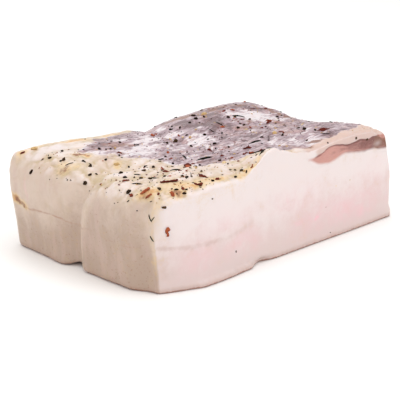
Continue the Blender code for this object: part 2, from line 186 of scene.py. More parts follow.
# Smaller grains that stand out: (X, Y, length)
SMALL_GRAINS = {
    "pepper": mm(
        (-95, 36, 2.2), (-84, 38, 2.6), (-95, 26, 1.8), (-86, 17, 2.2), (-102, 9, 1.2),
        (-73, 12, 2.4), (-58, 25, 2), (-37, 24, 2.6), (-80, -25, 2.4), (-78, -30, 2.8),
        (-22, 14, 2.4), (5, 38, 2.6), (9, 34, 2), (3, 22, 2.4), (32, 35, 2.4), (-81, -60, 2.2),
        (-88, -48, 2.6), (-42, -61, 2.2), (-60, -61, 2.4), (-34, -62, 2.4), (26, -20, 2.6),
        (34, 7, 2.2), (42, 23, 2.4), (46, 21, 2.2), (75, 10, 2.6), (50, -29, 2.4), (47, -36, 2.8),
        (48, -44, 2),
    ),
    "chilli": mm(
        (-45, -27, 6.8), (-48, -30, 5.2), (-41, -27, 3.6), (-95, -47, 4), (-3, 44, 3), (-60, 14, 3.4),
        (-16, 33, 3.4), (1, 27, 3), (-99, -38, 3.4), (-65, -29, 3.6), (-86, -56, 4.6),
        (-79, -57, 3.6), (-55, -60, 3.6), (-28, -61, 3.4), (-12, -46, 6), (28, 15, 3.4),
        (47, 15, 3.6), (56, 1, 4.6), (72, 29, 3.6), (41, 3, 2.6), (44, -4, 2.8), (41, -23, 3.4),
    ),
    "crumb": mm((-71, 5, 3.6), (-32, -43, 3.4), (36, 2, 2.6), (37, -21, 4), (-34, -60, 2.4)),
    "herb": mm(
        (-94.5, 19, 5), (-12, -55, 8), (-16, -58, 9.5), (-19, -56, 7), (-10, -59, 7.5), (-14, -52, 6),
        (45, -55, 6),
    ),
}
# Tints on the top, of lean and fat alike: (X, Y, half length, half width, turn in degrees, strength)
# Pale marks: pale patches where fat lies thinly, and on the lean near the cut painted sheen
PALE = mm(
    (60.5, 16, 20, 10, -45, 1.05), (-36.7, 17.7, 10, 20, -45, 0.62), (-2.8, 32.8, 9, 8, -45, 0.6),
    (3.2, 10.6, 8, 10, -45, 0.75), (23, -41, 12, 10, -45, 0.35), (30.3, -54.6, 12, 6, -45, 0.6),
    (-58.6, 15.8, 10, 6, -45, 0.6), (-86, 47, 20, 7, 0, 0.7), (-94, 20, 6, 5, -45, 0.6),
    lengths=4,
)
DEEP = mm(
    (-56.6, 38.4, 9, 12, -45, 0.75), (-47.2, 30.2, 6, 6, -45, 0.5), (31.3, 26.4, 10, 20, -45, 1.3),
    (18.2, 34.1, 12, 9, -45, 1.25), (64, -10, 16, 12, -45, 0.6), (31, -29, 14, 10, -45, 0.55),
    (-19, -33, 13, 8, -45, 0.5), (-92, -5, 13, 6, 50, 0.9), (-97, 11, 8, 4, -45, 0.8),
    (20.2, -7.4, 16, 8, -45, 0.6), (-32.4, -6, 11, 11, -45, 0.25), (51.3, 37.4, 10, 8, -45, 0.85),
    (72.9, 32.1, 12, 6, -45, 0.7), (46.8, -56.6, 9, 3, -45, 0.6),
    lengths=4,
)
BROWN = mm(
    (-80.5, 25.2, 6.6, 1.2, -50, 1.7), (-80, 33, 6, 1.6, -50, 0.7), (-46, 27, 11, 3.2, -25, 0.95),
    (-60.5, 14, 4, 2, -30, 0.8), (-97.5, 15, 6.5, 2.4, -45, 0.8), (-94.5, -46, 5, 3, -45, 0.75),
    (-83.5, -56, 5.5, 2.6, -45, 0.8), (-93.9, -24, 3.5, 2.2, -45, 0.6), (-68, 12, 12, 7, -30, 0.4),
    (30.7, -57.8, 7.2, 1.5, -32, 1.1), (20.5, -60, 6.2, 1.4, -18, 1.1), (57, -37, 6, 2.2, -45, 0.85),
    (50, -45, 5, 1.8, -45, 0.8), (41, 1, 13, 3.5, -45, 0.65), (46.5, 13, 8, 3, -45, 0.6),
    (-25, 48, 8, 4, -20, 0.7),
    lengths=4,
)
# The lean's dried far edge, in plan
FAR_EDGE = mm(
    (12, 51.5), (24.9, 48.1), (37.8, 47.5), (45.9, 43.5), (59.5, 42.8), (70.5, 40.7), (78.7, 35.6),
    (80, 20), (81.9, 1.3),
)
STAIN = mm(
    (-80, -59, 14, 2.8, 5, 0.8), (-56, -60, 14, 2.6, 0, 0.85), (-34, -61.5, 10, 2.4, 0, 0.75),
    (-22, -59, 6, 2.2, 30, 0.65), (-78, -50, 12, 6, -40, 0.7), (-66, -57, 10, 3.5, -10, 0.7),
    (-93, -45, 6, 5, 30, 0.6), (-96, 18, 9, 6, -70, 0.6), (-95, -24, 3, 3, 0, 0.5),
    (-98, 57, 5, 4, 0, 0.9), (-90, 57, 9, 2.5, 0, 0.75), (-63, 52.5, 11, 3, -10, 1.05),
    (-36, 51, 10, 2.8, 0, 0.85), (-71, 5, 4, 3, 0, 0.6), (-94.5, -46, 7, 4.5, -45, 0.9),
    (-83.5, -56, 8, 3.5, -45, 1), (-72, -60, 6, 2.5, -10, 0.95), (-80.5, 25.2, 7, 1.6, -50, 1.2),
    lengths=4,
)
# Blushes on the cut: (X, Z, half length, half height, strength)
BLUSH = mm(
    (-50, 32, 26, 7, 0.28), (27, 17.1, 1.6, 1.4, 2.2), (28, 16.5, 11, 4.5, 0.8),
    (49, 13.5, 12, 5.5, 0.8), (68, 12, 12, 5.5, 0.75), (50, 17, 45, 11, 0.6),
    (11.5, 17.7, 6, 4, 0.55), (-36, 18, 20, 8, 0.5), (-72, 17, 16, 11, 0.45), (10, 30, 30, 12, 0.3),
    (-7.2, 34, 0.9, 3.8, 0.55), (0.7, 32.5, 1, 3.6, 0.55), (7.7, 30, 0.9, 3.2, 0.45),
    (80, 30, 20, 12, 0.25),
    lengths=4,
)
# Marks on the left end: the brown mark, its dark middle and a pink streak, as (Y, Z, half length,
# half width, turn in degrees, strength)
END_MARKS = mm(
    (54, 31.2, 10, 3.5, 24, 1), (51.8, 29.6, 6, 1.6, 24, 1), (45, 40, 8, 1.2, 90, 0.35),
    lengths=4,
)
# The line where two layers of fat meet: (place along the wall, height) on the cut and the left end
CUT_SEAM = mm(
    (-101, 27.5), (-75.5, 25), (-52.5, 24.6), (-36.8, 25.8), (-24.2, 30.1), (-5.1, 32.3),
    (17.5, 32.1), (46.9, 31.7), (101, 33),
)
END_SEAM = mm(
    (-63.5, 24.2), (-52, 25.2), (-41, 26.7), (-25, 27.1), (-10, 28.7), (4.2, 27.5), (15.4, 29),
    (33.6, 29.7), (48.3, 29), (54.6, 31.4), (63.5, 35),
)
# The crease down the left end: (height, place along Y)
CREASE = mm((0, 6), (10, 5.8), (20, 4.7), (30, 2.9), (39, 0.4), (45, -2.4), (52, -6), (62, -9))
# Where the cut goes through the lean: (X, height) along its upper and its lower edge
CUT_LEAN_TOP = mm(
    (17.5, 54.6), (25, 55.5), (31, 57.1), (35.5, 58.9), (40.5, 59.6), (47, 58.8), (55, 57.4),
    (61.5, 58.1), (66, 58.2), (72.5, 57), (79, 57.8), (86, 57.2), (98, 56),
)
CUT_LEAN_FOOT = mm(
    (17.5, 54), (20, 53.4), (26.5, 50.3), (32, 49.2), (39, 49), (46.5, 50.7), (51.5, 51.6),
    (60, 50.7), (70, 49.4), (78, 49.4), (86, 48), (98, 46.8),
)


def curve(points, place):
    """The value at each place of a smooth line through (place, value) points."""
    places, values = np.array(points).T
    slopes = np.gradient(values, places)
    i = np.clip(np.searchsorted(places, place) - 1, 0, len(places) - 2)
    span = places[i + 1] - places[i]
    t = np.clip((place - places[i]) / span, 0, 1)
    start = (1 + 2 * t) * (1 - t) ** 2 * values[i] + t * (1 - t) ** 2 * span * slopes[i]
    end = t * t * (3 - 2 * t) * values[i + 1] + t * t * (t - 1) * span * slopes[i + 1]
    return start + end


def fade(low, high, value):
    """0 at low, 1 at high and smooth between them; high may be the lower of the two."""
    t = np.clip((value - low) / (high - low), 0, 1)
    return t * t * (3 - 2 * t)


def swell(x, y, at, spread):
    """A smooth mound of height 1 at one place, with its spread along X and Y."""
    return np.exp(-(((x - at[0]) / spread[0]) ** 2) - ((y - at[1]) / spread[1]) ** 2)


def trough(x, y, start, end, width):
    """A smooth trough of depth 1 along a straight line."""
    run = np.subtract(end, start)
    t = np.clip(((x - start[0]) * run[0] + (y - start[1]) * run[1]) / run.dot(run), 0, 1)
    away = np.hypot(x - start[0] - t * run[0], y - start[1] - t * run[1])
    return np.exp(-((away / width) ** 2))


def top_height(x, y):
    """Height of the cured top: a patch between its four rims, with its mounds and troughs."""
    u = np.clip(x / LENGTH + 0.5, 0, 1)
    v = np.clip(y / WIDTH + 0.5, 0, 1)
    near = (1 - u) * FRONT_RIM[0][1] + u * FRONT_RIM[-1][1]
    far = (1 - u) * BACK_RIM[0][1] + u * BACK_RIM[-1][1]
    height = (1 - v) * curve(FRONT_RIM, x) + v * curve(BACK_RIM, x)
    height += (1 - u) * curve(LEFT_RIM, y) + u * curve(RIGHT_RIM, y)
    height -= (1 - v) * near + v * far
    height += CREST[2] * swell(x, y, CREST[:2], (0.013, 0.018))
    height += 0.0020 * swell(x, y, (0.045, 0.030), (0.035, 0.025))
    height += 0.0015 * swell(x, y, (-0.060, -0.045), (0.030, 0.012))
    height -= 0.0026 * trough(x, y, (-0.108, -0.006), (-0.078, 0.001), 0.0085)
    height -= 0.0022 * trough(x, y, (-0.078, 0.001), (-0.050, -0.020), 0.0075)
    return height


def fillet(a, b, radius):
    """Distance outside two faces that meet in an edge rounded to a radius."""
    inner = np.minimum(np.maximum(a, b), -radius)
    return inner + np.hypot(np.maximum(a + radius, 0), np.maximum(b + radius, 0))


def outside(x, y, z):
    """Distance outside the plain box, with its rims rounded: crisp at the cut, soft at the left end."""
    ends = np.abs(x) - LENGTH / 2
    faces = np.abs(y) - WIDTH / 2
    on_faces = fade(-0.006, 0.006, faces - ends)
    upright = np.select([(y < 0) & (x < 0), y < 0, x < 0], [0.0012, 0.0030, 0.0075], 0.010)
    cut_top = 0.0058 - 0.0045 * fade(-0.040, -0.028, x) + 0.0020 * fade(0.010, 0.035, x)
    cut_top += 0.0060 * fade(0.080, 0.098, x)
    top = on_faces * np.where(y < 0, cut_top, 0.008) + (1 - on_faces) * np.where(x < 0, 0.015, 0.010)
    foot = on_faces * np.where(y < 0, 0.0012, 0.004) + (1 - on_faces) * np.where(x < 0, 0.0028, 0.0015)
    walls = fillet(ends, faces, upright)
    capped = fillet(walls, z - top_height(x, y), top)
    return fillet(capped, -z, foot)


def crease_place(z):
    """Where the crease between the left end's two lobes runs along Y, at each height."""
    return curve(CREASE, z)


def bulge(x, y, z):
    """The place of each point of the plain box once its walls lean, bulge and crease."""
    on_left = fade(LENGTH / 2 - 0.045, LENGTH / 2, -x)
    on_right = fade(LENGTH / 2 - 0.045, LENGTH / 2, x)
    on_front = fade(WIDTH / 2 - 0.045, WIDTH / 2, -y)
    on_back = fade(WIDTH / 2 - 0.045, WIDTH / 2, y)
    # The left end swells out as it rises, and turns in towards the cut
    left = -0.0015 - 0.0038 * fade(0.0, 0.042, z)
    left += 0.0020 * fade(0.025, 0.063, y) * fade(0.040, 0.0, z)
    left += 0.0065 * fade(-0.042, -0.063, y)
    left -= 0.0024 * fade(0.012, 0.0, z) * swell(x, y, (x, 0.019), (1.0, 0.008))
    past = y - crease_place(z)
    left += 0.0040 * np.exp(-((past / np.where(past > 0, 0.011, 0.0035)) ** 2))
    front = curve(FRONT_BOW, x)
    # The rind stands proud along part of the cut's foot, and is torn off beside it
    foot = fade(0.0050, 0.0015, z)
    front -= 0.0018 * foot * fade(-0.082, -0.070, x) * fade(-0.026, -0.032, x)
    front += 0.0028 * foot * swell(x, y, (-0.020, -0.063), (0.006, 0.020))
    right = -0.0010 - 0.0055 * fade(0.027, 0.052, z)
    right += 0.0022 * fade(0.010, 0.003, z) * fade(-0.030, -0.055, y)
    back = 0.0030 * fade(-0.060, -0.095, x) - 0.0030 * fade(0.030, 0.0, z) * fade(-0.080, -0.060, x)
    lift = 0.0028 * fade(0.008, 0.0, z) * swell(x, y, (-0.100, 0.0085), (0.010, 0.006))
    x = x + on_left * left + on_right * right
    y = y + on_front * front + on_back * back
    return x, y, z + lift


def crowd(plan, amount):
    """Moves grid lines that run evenly from -1 to 1 closer together near both ends."""
    return (1 - amount) * plan + amount * np.sin(plan * np.pi / 2)


def surface(plan):
    """Each point of a box from -1 to 1, carried out from the slab's core to its surface."""
    plan = crowd(plan, CROWDING)
    x = plan[:, 0] * LENGTH / 2
    y = plan[:, 1] * WIDTH / 2
    top = top_height(x, y)
    z = (plan[:, 2] + 1) / 2 * top
    # Near the left end the upright lines follow the crease
    y = y + crease_place(z) * fade(-0.060, -0.095, x) * swell(x, y, (x, 0.0), (1.0, 0.030))
    box = np.stack([x, y, z], axis=1)
    reach = np.array([LENGTH / 2 - CORE_MARGIN, WIDTH / 2 - CORE_MARGIN])
    core = box.copy()
    core[:, :2] = np.clip(box[:, :2], -reach, reach)
    core[:, 2] = np.clip(z, CORE_FOOT, top - CORE_MARGIN)
    outwards = box - core
    near = np.zeros(len(box))
    far = np.full(len(box), 1.5)
    for _ in range(24):
        middle = (near + far) / 2
        inside = outside(*(core + outwards * middle[:, None]).T) < 0
        near = np.where(inside, middle, near)
        far = np.where(inside, far, middle)
    return np.stack(bulge(*(core + outwards * near[:, None]).T), axis=1)


def lean_cover(x, y):
    """Thickness of the fat over the lean. It is below 0 where the lean lies bare."""
    front = fade(-0.0552, -0.0602, y - 0.009 * fade(0.055, 0.100, x))
    back = fade(0.0490, 0.0530, y) * fade(-0.012, -0.022, x)
    thick = np.where(y < 0, curve(COVER_AT_CUT, x), COVER)
    return (thick + OVERCUT) * np.maximum(front, back) - OVERCUT


def density(x, y):
    """How thickly the rub lies: most of it near the cut on the left and along the lean's middle."""
    thick = 0.14 + 0.86 * swell(x, y, (-0.068, -0.034), (0.040, 0.026))
    return thick + 0.22 * swell(x, y, (0.015, 0.005), (0.055, 0.032))


def crosses_edge(x, y, reach):
    """Whether a round patch would lie partly on bare lean and partly on fat."""
    around = np.arange(8) * math.pi / 4
    px = x + reach * np.cos(around)
    py = y + reach * np.sin(around)
    past_edge = px > curve(LEAN_EDGE, py)
    cover = lean_cover(px, py)
    return not (past_edge & (cover < 0)).all() and (past_edge & (cover < COVER / 2)).any()


def rub_grains():
    """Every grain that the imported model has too, as (kind, X, Y, length, turn, tilt)."""
    rng = random.Random(SEED)
    left, right, front, back = RUB_FIELD
    grains = []

    def lay(kind, x, y, length, turn):
        reach = length / 2 + RUB_CLEARANCE
        crowded = any(math.hypot(x - g[1], y - g[2]) < reach + g[3] / 2 for g in grains)
        if crowded or crosses_edge(x, y, reach):
            return False
        grains.append((kind, x, y, length, turn, rng.uniform(-0.2, 0.2)))
        return True

    for kind, marks in LANDMARKS.items():
        for x, y, length, turn in marks:
            lay(kind, x, y, length, math.radians(turn))
    for kind, (short, long), _, count in RUB:
        laid = 0
        for _ in range(count * TRIES):
            x = rng.uniform(left, right)
            y = rng.uniform(front, back)
            length = short + (long - short) * rng.random() ** 2
            turn = rng.uniform(0, math.tau)
            if rng.random() < density(x, y) and lay(kind, x, y, length, turn):
                laid += 1
            if laid == count:
                break
    return grains


def colour(red, green, blue):
    """A colour's linear values, from its display values of 0 to 255."""
    shares = (red / 255, green / 255, blue / 255)
    return tuple(c / 12.92 if c <= 0.04045 else ((c + 0.055) / 1.055) ** 2.4 for c in shares)


def colour_property(name, description, red, green, blue):
    return bpy.props.FloatVectorProperty(
        name=name,
        description=description,
        subtype="COLOR",
        size=3,
        min=0,
        max=1,
        default=colour(red, green, blue),
    )


def length_property(name, description, default, high=0.02):
    return bpy.props.FloatProperty(
        name=name,
        description=description,
        subtype="DISTANCE",
        unit="LENGTH",
        min=0,
        max=high,
        precision=5,
        default=default,
    )


def angle_property(name, description, degrees):
    return bpy.props.FloatProperty(
        name=name,
        description=description,
        subtype="ANGLE",
        unit="ROTATION",
        default=math.radians(degrees),
    )


def count_property(name, description, default, high):
    return bpy.props.IntProperty(name=name, description=description, min=1, max=high, default=default)


class LardoFatSettings(bpy.types.PropertyGroup):
    faces_long: count_property("Faces along", "Grid faces along the slab's length", 236, 400)
    faces_wide: count_property("Faces across", "Grid faces across the slab's width", 148, 300)
    faces_high: count_property("Faces up", "Grid faces up the slab's walls", 62, 120)
    joint: length_property("Joint", "Space between the fat and the lean", 0.00004, 0.001)
    lumps: length_property("Lumps", "Half the height of the knobs on the cured top", 0.00060)
    cured: colour_property("Cured fat", "The outside's cream", 211, 191, 176)
    # Cured fat, low is the painted shade towards the foot and in the left end's crease
    cured_low: colour_property("Cured fat, low", "The outside's tan near the foot", 183, 160, 144)
    # Cured fat, top is the painted shade in the creases between the top's knobs, and the tint of its
    # blotches and darker patches
    cured_top: colour_property("Cured fat, top", "Hollows of the rubbed top", 190, 168, 136)
    thin: colour_property("Thin fat", "The fat that lies thinly over the lean", 208, 180, 170)
    fresh: colour_property("Cut fat", "The cut face", 229, 217, 215)
    # Cut fat, low is the painted shade towards the cut face's foot
    fresh_low: colour_property("Cut fat, low", "The cut face near the rind", 216, 198, 194)
    blush: colour_property("Blush", "Pink blushes on the cut", 236, 188, 196)
    stain: colour_property("Spice stain", "Where the rub has stained the fat most", 204, 146, 82)
    stain_light: colour_property("Spice stain, light", "Round the stains", 224, 196, 150)
    seam: colour_property("Seam", "The line between two layers of fat", 178, 142, 124)
    rind: colour_property("Rind", "The skin at the foot", 150, 102, 84)


class LardoLeanSettings(bpy.types.PropertyGroup):
    faces_long: count_property("Faces along", "Grid faces along the lean's bed", 130, 300)
    faces_wide: count_property("Faces across", "Grid faces across the lean's bed", 100, 300)
    folds: length_property("Folds", "Half the height of the folds along the fibres", 0.00055)
    lean: colour_property("Lean", "The dried lean's mauve", 171, 148, 155)
    # Lean, deep is also the painted shade in the folds' hollows; Lean, pale is also the painted highlight
    # on their ridges and the painted glint at the cut
    deep: colour_property("Lean, deep", "Hollows, and where the lean is thickest", 118, 95, 98)
    pale: colour_property("Lean, pale", "Ridges, and where fat lies thinly on it", 221, 211, 213)
    brown: colour_property("Lean, brown", "Dried edges and streaks", 132, 88, 66)
    fresh: colour_property("Cut lean", "The lean at the cut", 198, 144, 134)
    fresh_deep: colour_property("Cut lean, deep", "The darker lean at the cut", 122, 73, 67)


class LardoRubSettings(bpy.types.PropertyGroup):
    dust: count_property("Fine bits", "Bits to a square metre, where the rub is thickest", 72000, 500000)
    pepper: colour_property("Pepper", "Cracked peppercorns", 36, 25, 17)
    chilli: colour_property("Chilli", "Flakes of dried chilli", 98, 40, 32)
    herb: colour_property("Herb", "Dried herb needles", 28, 28, 20)
    crumb: colour_property("Crumb", "Ochre crumbs of spice", 186, 152, 104)


class LardoStageSettings(bpy.types.PropertyGroup):
    lens: bpy.props.FloatProperty(
        name="Lens",
        description="Focal length on a 36 mm sensor",
        subtype="DISTANCE_CAMERA",
        default=112.5,
    )
    distance: length_property("Distance", "From the camera to its aim", 0.74884, 5)
    elevation: angle_property("Elevation", "How far the camera looks down", 18.203)
    azimuth: angle_property("Azimuth", "How far round from the front the camera stands", -45.67)
    floor: colour_property("Floor", "The pale floor", 250, 249, 248)


class LardoSettings(bpy.types.PropertyGroup):
    fat: bpy.props.PointerProperty(type=LardoFatSettings, name="Fat", description="The fat")
    lean: bpy.props.PointerProperty(type=LardoLeanSettings, name="Lean", description="The lean")
    rub: bpy.props.PointerProperty(type=LardoRubSettings, name="Rub", description="The dry rub")
    stage: bpy.props.PointerProperty(type=LardoStageSettings, name="Stage", description="The stage")


def noises(places, scale, seed=0.0):
    """A smooth random vector for each place, each part from -1 to 1."""
    noise.seed_set(SEED)
    aside = Vector((seed, 0, 0))
    return np.array([noise.noise_vector(Vector(place) * scale + aside) for place in places])


def fractals(places, scale, octaves, seed=0.0):
    """A rough random number for each place, mostly from -1 to 1."""
    aside = Vector((seed, 0, 0))
    return np.array([noise.fractal(Vector(place) * scale + aside, 0.9, 2.1, octaves) for place in places])


def oval(x, y, at_x, at_y, long, wide, turn, strength):
    """A soft-edged oval of its own strength, long along its turn."""
    cos, sin = math.cos(math.radians(turn)), math.sin(math.radians(turn))
    along = ((x - at_x) * cos + (y - at_y) * sin) / long
    across = ((y - at_y) * cos - (x - at_x) * sin) / wide
    return strength * np.exp(-((along**2 + across**2) ** 1.5))


def tint(marks, x, y):
    return np.max([oval(x, y, *mark) for mark in marks], axis=0)


def surface_masks(places, normals):
    """What lies where on the slab's outside, mostly from 0 to 1, and how far off two lines are, in mm."""
    # Ragged places, so that what lies at them has a ragged edge
    warp = 0.0026 * noises(places, 130) + 0.0012 * noises(places, 420, 7.0)
    x, y, z = (places + warp).T
    flat_x, flat_y, flat_z = places.T
    # The top, the left end and the cut, which turns cured along its rims
    sooner = 0.25 * fade(-0.080, -0.094, flat_x)
    top = fade(0.15 + sooner, 0.60 + sooner, normals[:, 2]) * fade(0.030, 0.038, flat_z)
    end = fade(0.36, 0.84, -normals[:, 0] + 50 * warp[:, 0])
    inwards = flat_y + WIDTH / 2 - curve(FRONT_BOW, flat_x)
    front = fade(0.0065, 0.0030, inwards) * (1 - end)
    cut = front * np.maximum(fade(0.52, 0.88, -normals[:, 1]), fade(0.012, 0.006, flat_z))
    cut = cut * (1 - 0.85 * fade(-0.0925, -0.1000, x) * fade(0.026, 0.044, flat_z))
    # Where the lean lies bare: past its front edge, which is set back on the left
    nearer = lean_cover(x, y + 0.0028 * fade(0.085, 0.060, x))
    far_left = fade(-0.030, -0.060, x)
    set_back = 0.002 + 0.014 * fade(0.031, 0.038, y) + 0.004 * fade(0.038, 0.048, y)
    past_edge = (x - curve(LEAN_EDGE, y) - set_back * far_left) / (0.0065 + 0.0055 * far_left)
    bare = fade(-0.9, 1.1, past_edge) * fade(0.0012, -0.0022, nearer)
    off_bed, above = bed_depth(places, top)
    # At the cut the lean's edges are measured from their own lines
    waver = 0.0004 * noises(places, 230, 4.0)
    upper = flat_z + waver[:, 2] - curve(CUT_LEAN_TOP, flat_x)
    lower = curve(CUT_LEAN_FOOT, flat_x) - flat_z - waver[:, 1]
    off_cut = np.maximum(np.maximum(upper, lower), 0.0178 - flat_x)
    at_cut = fade(0.010, 0.006, inwards)
    off_bed = off_bed - 0.0020 * above * fade(0.076, 0.086, flat_x) + waver[:, 0]
    off_bed = off_bed + at_cut * (off_cut - off_bed)
    above = np.where(at_cut > 0.5, (upper > lower) * fade(0.019, 0.028, flat_x), above)
    # Lean at the cut, the thin fat over it, its rim, and its dried right end
    wall = np.maximum(1 - top, at_cut * fade(0.0004, -0.0004, off_cut) * fade(0.070, 0.078, flat_x))
    over = (1 - top) * above * fade(-0.0006, 0.0, off_bed) * fade(0.016, 0.030, flat_x)
    thin = np.maximum(fade(0.0, 0.0015, lean_cover(x, y)) * fade(0.008, 0.022, x) * top, over)
    rim = np.exp(-(((off_bed + 0.0004) / 0.0006) ** 2)) * above
    dried = 1.2 * fade(0.076, 0.086, flat_x + 0.3 * warp[:, 0]) * fade(0.0, -0.0010, off_bed)
    deep = 0.85 * fade(0.030, 0.082, flat_x) + 0.9 * rim + 0.14 * fade(0.0020, 0.0046, -lower) - 0.10
    # The brown mark on the left end, the pink streak above it, and the lean's dried far edge
    mark, inner, streak = (oval(y, z, *at) * end for at in END_MARKS)
    edge = np.max([trough(x, y, *ends, 0.0026) for ends in zip(FAR_EDGE, FAR_EDGE[1:])], axis=0)
    browned = np.maximum(tint(BROWN, x, y), 1.4 * edge) * top + wall * dried
    # The seam, fainter past the crease
    past = flat_y - crease_place(flat_z)
    seam = end * curve(END_SEAM, flat_y) + (1 - end) * curve(CUT_SEAM, flat_x)
    seamed = 0.75 * end * (1 - 0.55 * fade(-0.002, -0.014, past))
    traced = fade(-0.030, -0.060, flat_x)
    # A painted pale glint and blushes on the cut, and stains round flakes and down from the cut's top
    # edge
    glint = swell(flat_x, flat_z, (0.0830, 0.0522), (0.0036, 0.0017)) * (1 - top)
    blush = np.max([s * swell(x, z, (bx, bz), (long, high)) for bx, bz, long, high, s in BLUSH], axis=0)
    flakes = [(fx, fy, 0.5 * size + 0.0014) for fx, fy, size, _ in LANDMARKS["chilli"]]
    halo = np.max([swell(x, y, (fx, fy), (reach, reach)) for fx, fy, reach in flakes], axis=0)
    corner = 0.42 * np.exp(-((inwards / 0.0050) ** 2)) * (1 - cut)
    corner *= fade(0.004, 0.020, z) * fade(-0.080, -0.092, x)
    stain = np.maximum(tint(STAIN, x, y) * top, 1.1 * mark) + corner
    under = top_height(flat_x, flat_y) - flat_z
    stain += 0.42 * np.exp(-((under / 0.007) ** 2)) * cut * (1 - top) * fade(-0.020, -0.060, flat_x)
    # Painted highlights along the crease's near lip, the corner by the cut and the faces turned to the
    # back, and painted shade in the crease and over the near lobe
    painted_highlight = 0.30 * np.exp(-(((past + 0.0036) / 0.0024) ** 2))
    painted_highlight += 0.90 * np.exp(-((inwards / 0.0045) ** 2)) + 0.55 * fade(0.10, 0.55, normals[:, 1])
    painted_shade = 0.40 * np.exp(-(((past - 0.0040) / 0.0080) ** 2))
    painted_shade += 0.50 * fade(-0.006, -0.014, past) * fade(-0.062, -0.052, flat_y)
    return {
        "top": top,
        "wall": wall,
        "cut": cut,
        "lean": top * bare,
        "above": above,
        "off_bed": 1000 * off_bed,
        "thin": thin,
        "pale": tint(PALE, x, y) * top + glint,
        "deep": tint(DEEP, x, y) * top + (1 - top) * deep,
        "brown": np.maximum.reduce([browned, 0.45 * mark, 1.4 * inner]),
        "stain": np.maximum(stain, 0.60 * halo * top * (1 - bare)),
        "blush": np.maximum(blush * cut, streak),
        "seam": (1 - top) * (seamed + (1 - end) * (0.11 + 0.23 * traced) * fade(0.060, 0.030, flat_x)),
        "off_seam": 1000 * (1 - 0.55 * cut) * np.abs(flat_z + 0.3 * warp[:, 2] - seam),
        # Painted shade: darker towards the foot and in the crease, lighter where the painted highlights
        # lie
        "low": (fade(0.050, 0.002, z) + end * (painted_shade - painted_highlight)) * (1 - top),
    }


def box_grid(counts):
    """Corners from -1 to 1, and outward quads, of a box whose faces are cut into a grid."""
    corners, quads, so_far = [], [], 0
    for axis in range(3):
        u, v = (axis + 1) % 3, (axis + 2) % 3
        i, j = np.meshgrid(np.arange(counts[u] + 1), np.arange(counts[v] + 1), indexing="ij")
        for side in (0, counts[axis]):
            grid = np.zeros((i.size, 3), int)
            grid[:, axis], grid[:, u], grid[:, v] = side, i.ravel(), j.ravel()
            ids = np.arange(i.size).reshape(i.shape) + so_far
            ring = [ids[:-1, :-1], ids[1:, :-1], ids[1:, 1:], ids[:-1, 1:]]
            quads.append(np.stack(ring if side else ring[::-1], axis=-1).reshape(-1, 4))
            corners.append(grid)
            so_far += i.size
    corners, index = np.unique(np.concatenate(corners), axis=0, return_inverse=True)
    return 2 * corners / np.array(counts) - 1, index.reshape(-1)[np.concatenate(quads)]


def new_mesh(name, places, faces):
    mesh = bpy.data.meshes.new(name)
    mesh.from_pydata([tuple(p) for p in places], [], [tuple(f) for f in faces])
    mesh.update()
    return mesh


def read(items, attribute):
    """A vector attribute of every item, as an array."""
    values = np.empty(len(items) * 3, np.float32)
    items.foreach_get(attribute, values)
    return values.reshape(-1, 3).astype(float)


def set_attribute(mesh, name, values):
    """Gives each of a mesh's points a number or a vector."""
    values = np.array(values, np.float32)
    kind, field = ("FLOAT", "value") if values.ndim == 1 else ("FLOAT_VECTOR", "vector")
    mesh.attributes.new(name, kind, "POINT").data.foreach_set(field, values.ravel())


def fold_height(places):
    """The lean's folds, from -1 in the hollows to 1 on the ridges, which run along its fibres."""
    wander = 0.0050 * noises(places, 34, 3.0)
    x, y, z = (places + wander).T
    fibres = np.stack([46 * (0.99 * x - 0.14 * y), 128 * (0.99 * y + 0.14 * x), 40 * z], axis=1)
    folds = fractals(fibres, 1.0, 3, 9.0)
    wrinkles = fractals(fibres * (1.9, 2.6, 2), 1.0, 3, 2.0)
    rough = fade(-0.35, 0.25, fractals(places, 45, 2, 6.0))
    height = (0.35 + 0.65 * rough) * (0.9 - 3.0 * np.abs(folds)) + (0.35 + 0.4 * rough) * wrinkles
    return np.clip(height, -1, 1)


def knob_height(places):
    """Knobs on the cured fat, up to 1, with creases between them down to -1."""
    x, y, z = (places + 0.0040 * noises(places, 70, 6.0)).T
    stretched = np.stack([62 * x + 30 * y, 100 * y - 30 * x, 60 * z], axis=1)
    knobs = -0.70 + 2.8 * np.abs(fractals(stretched, 1.0, 3, 5.0)) + 0.40 * fractals(places, 330, 2, 8.0)
    return np.clip(knobs, -1, 1)


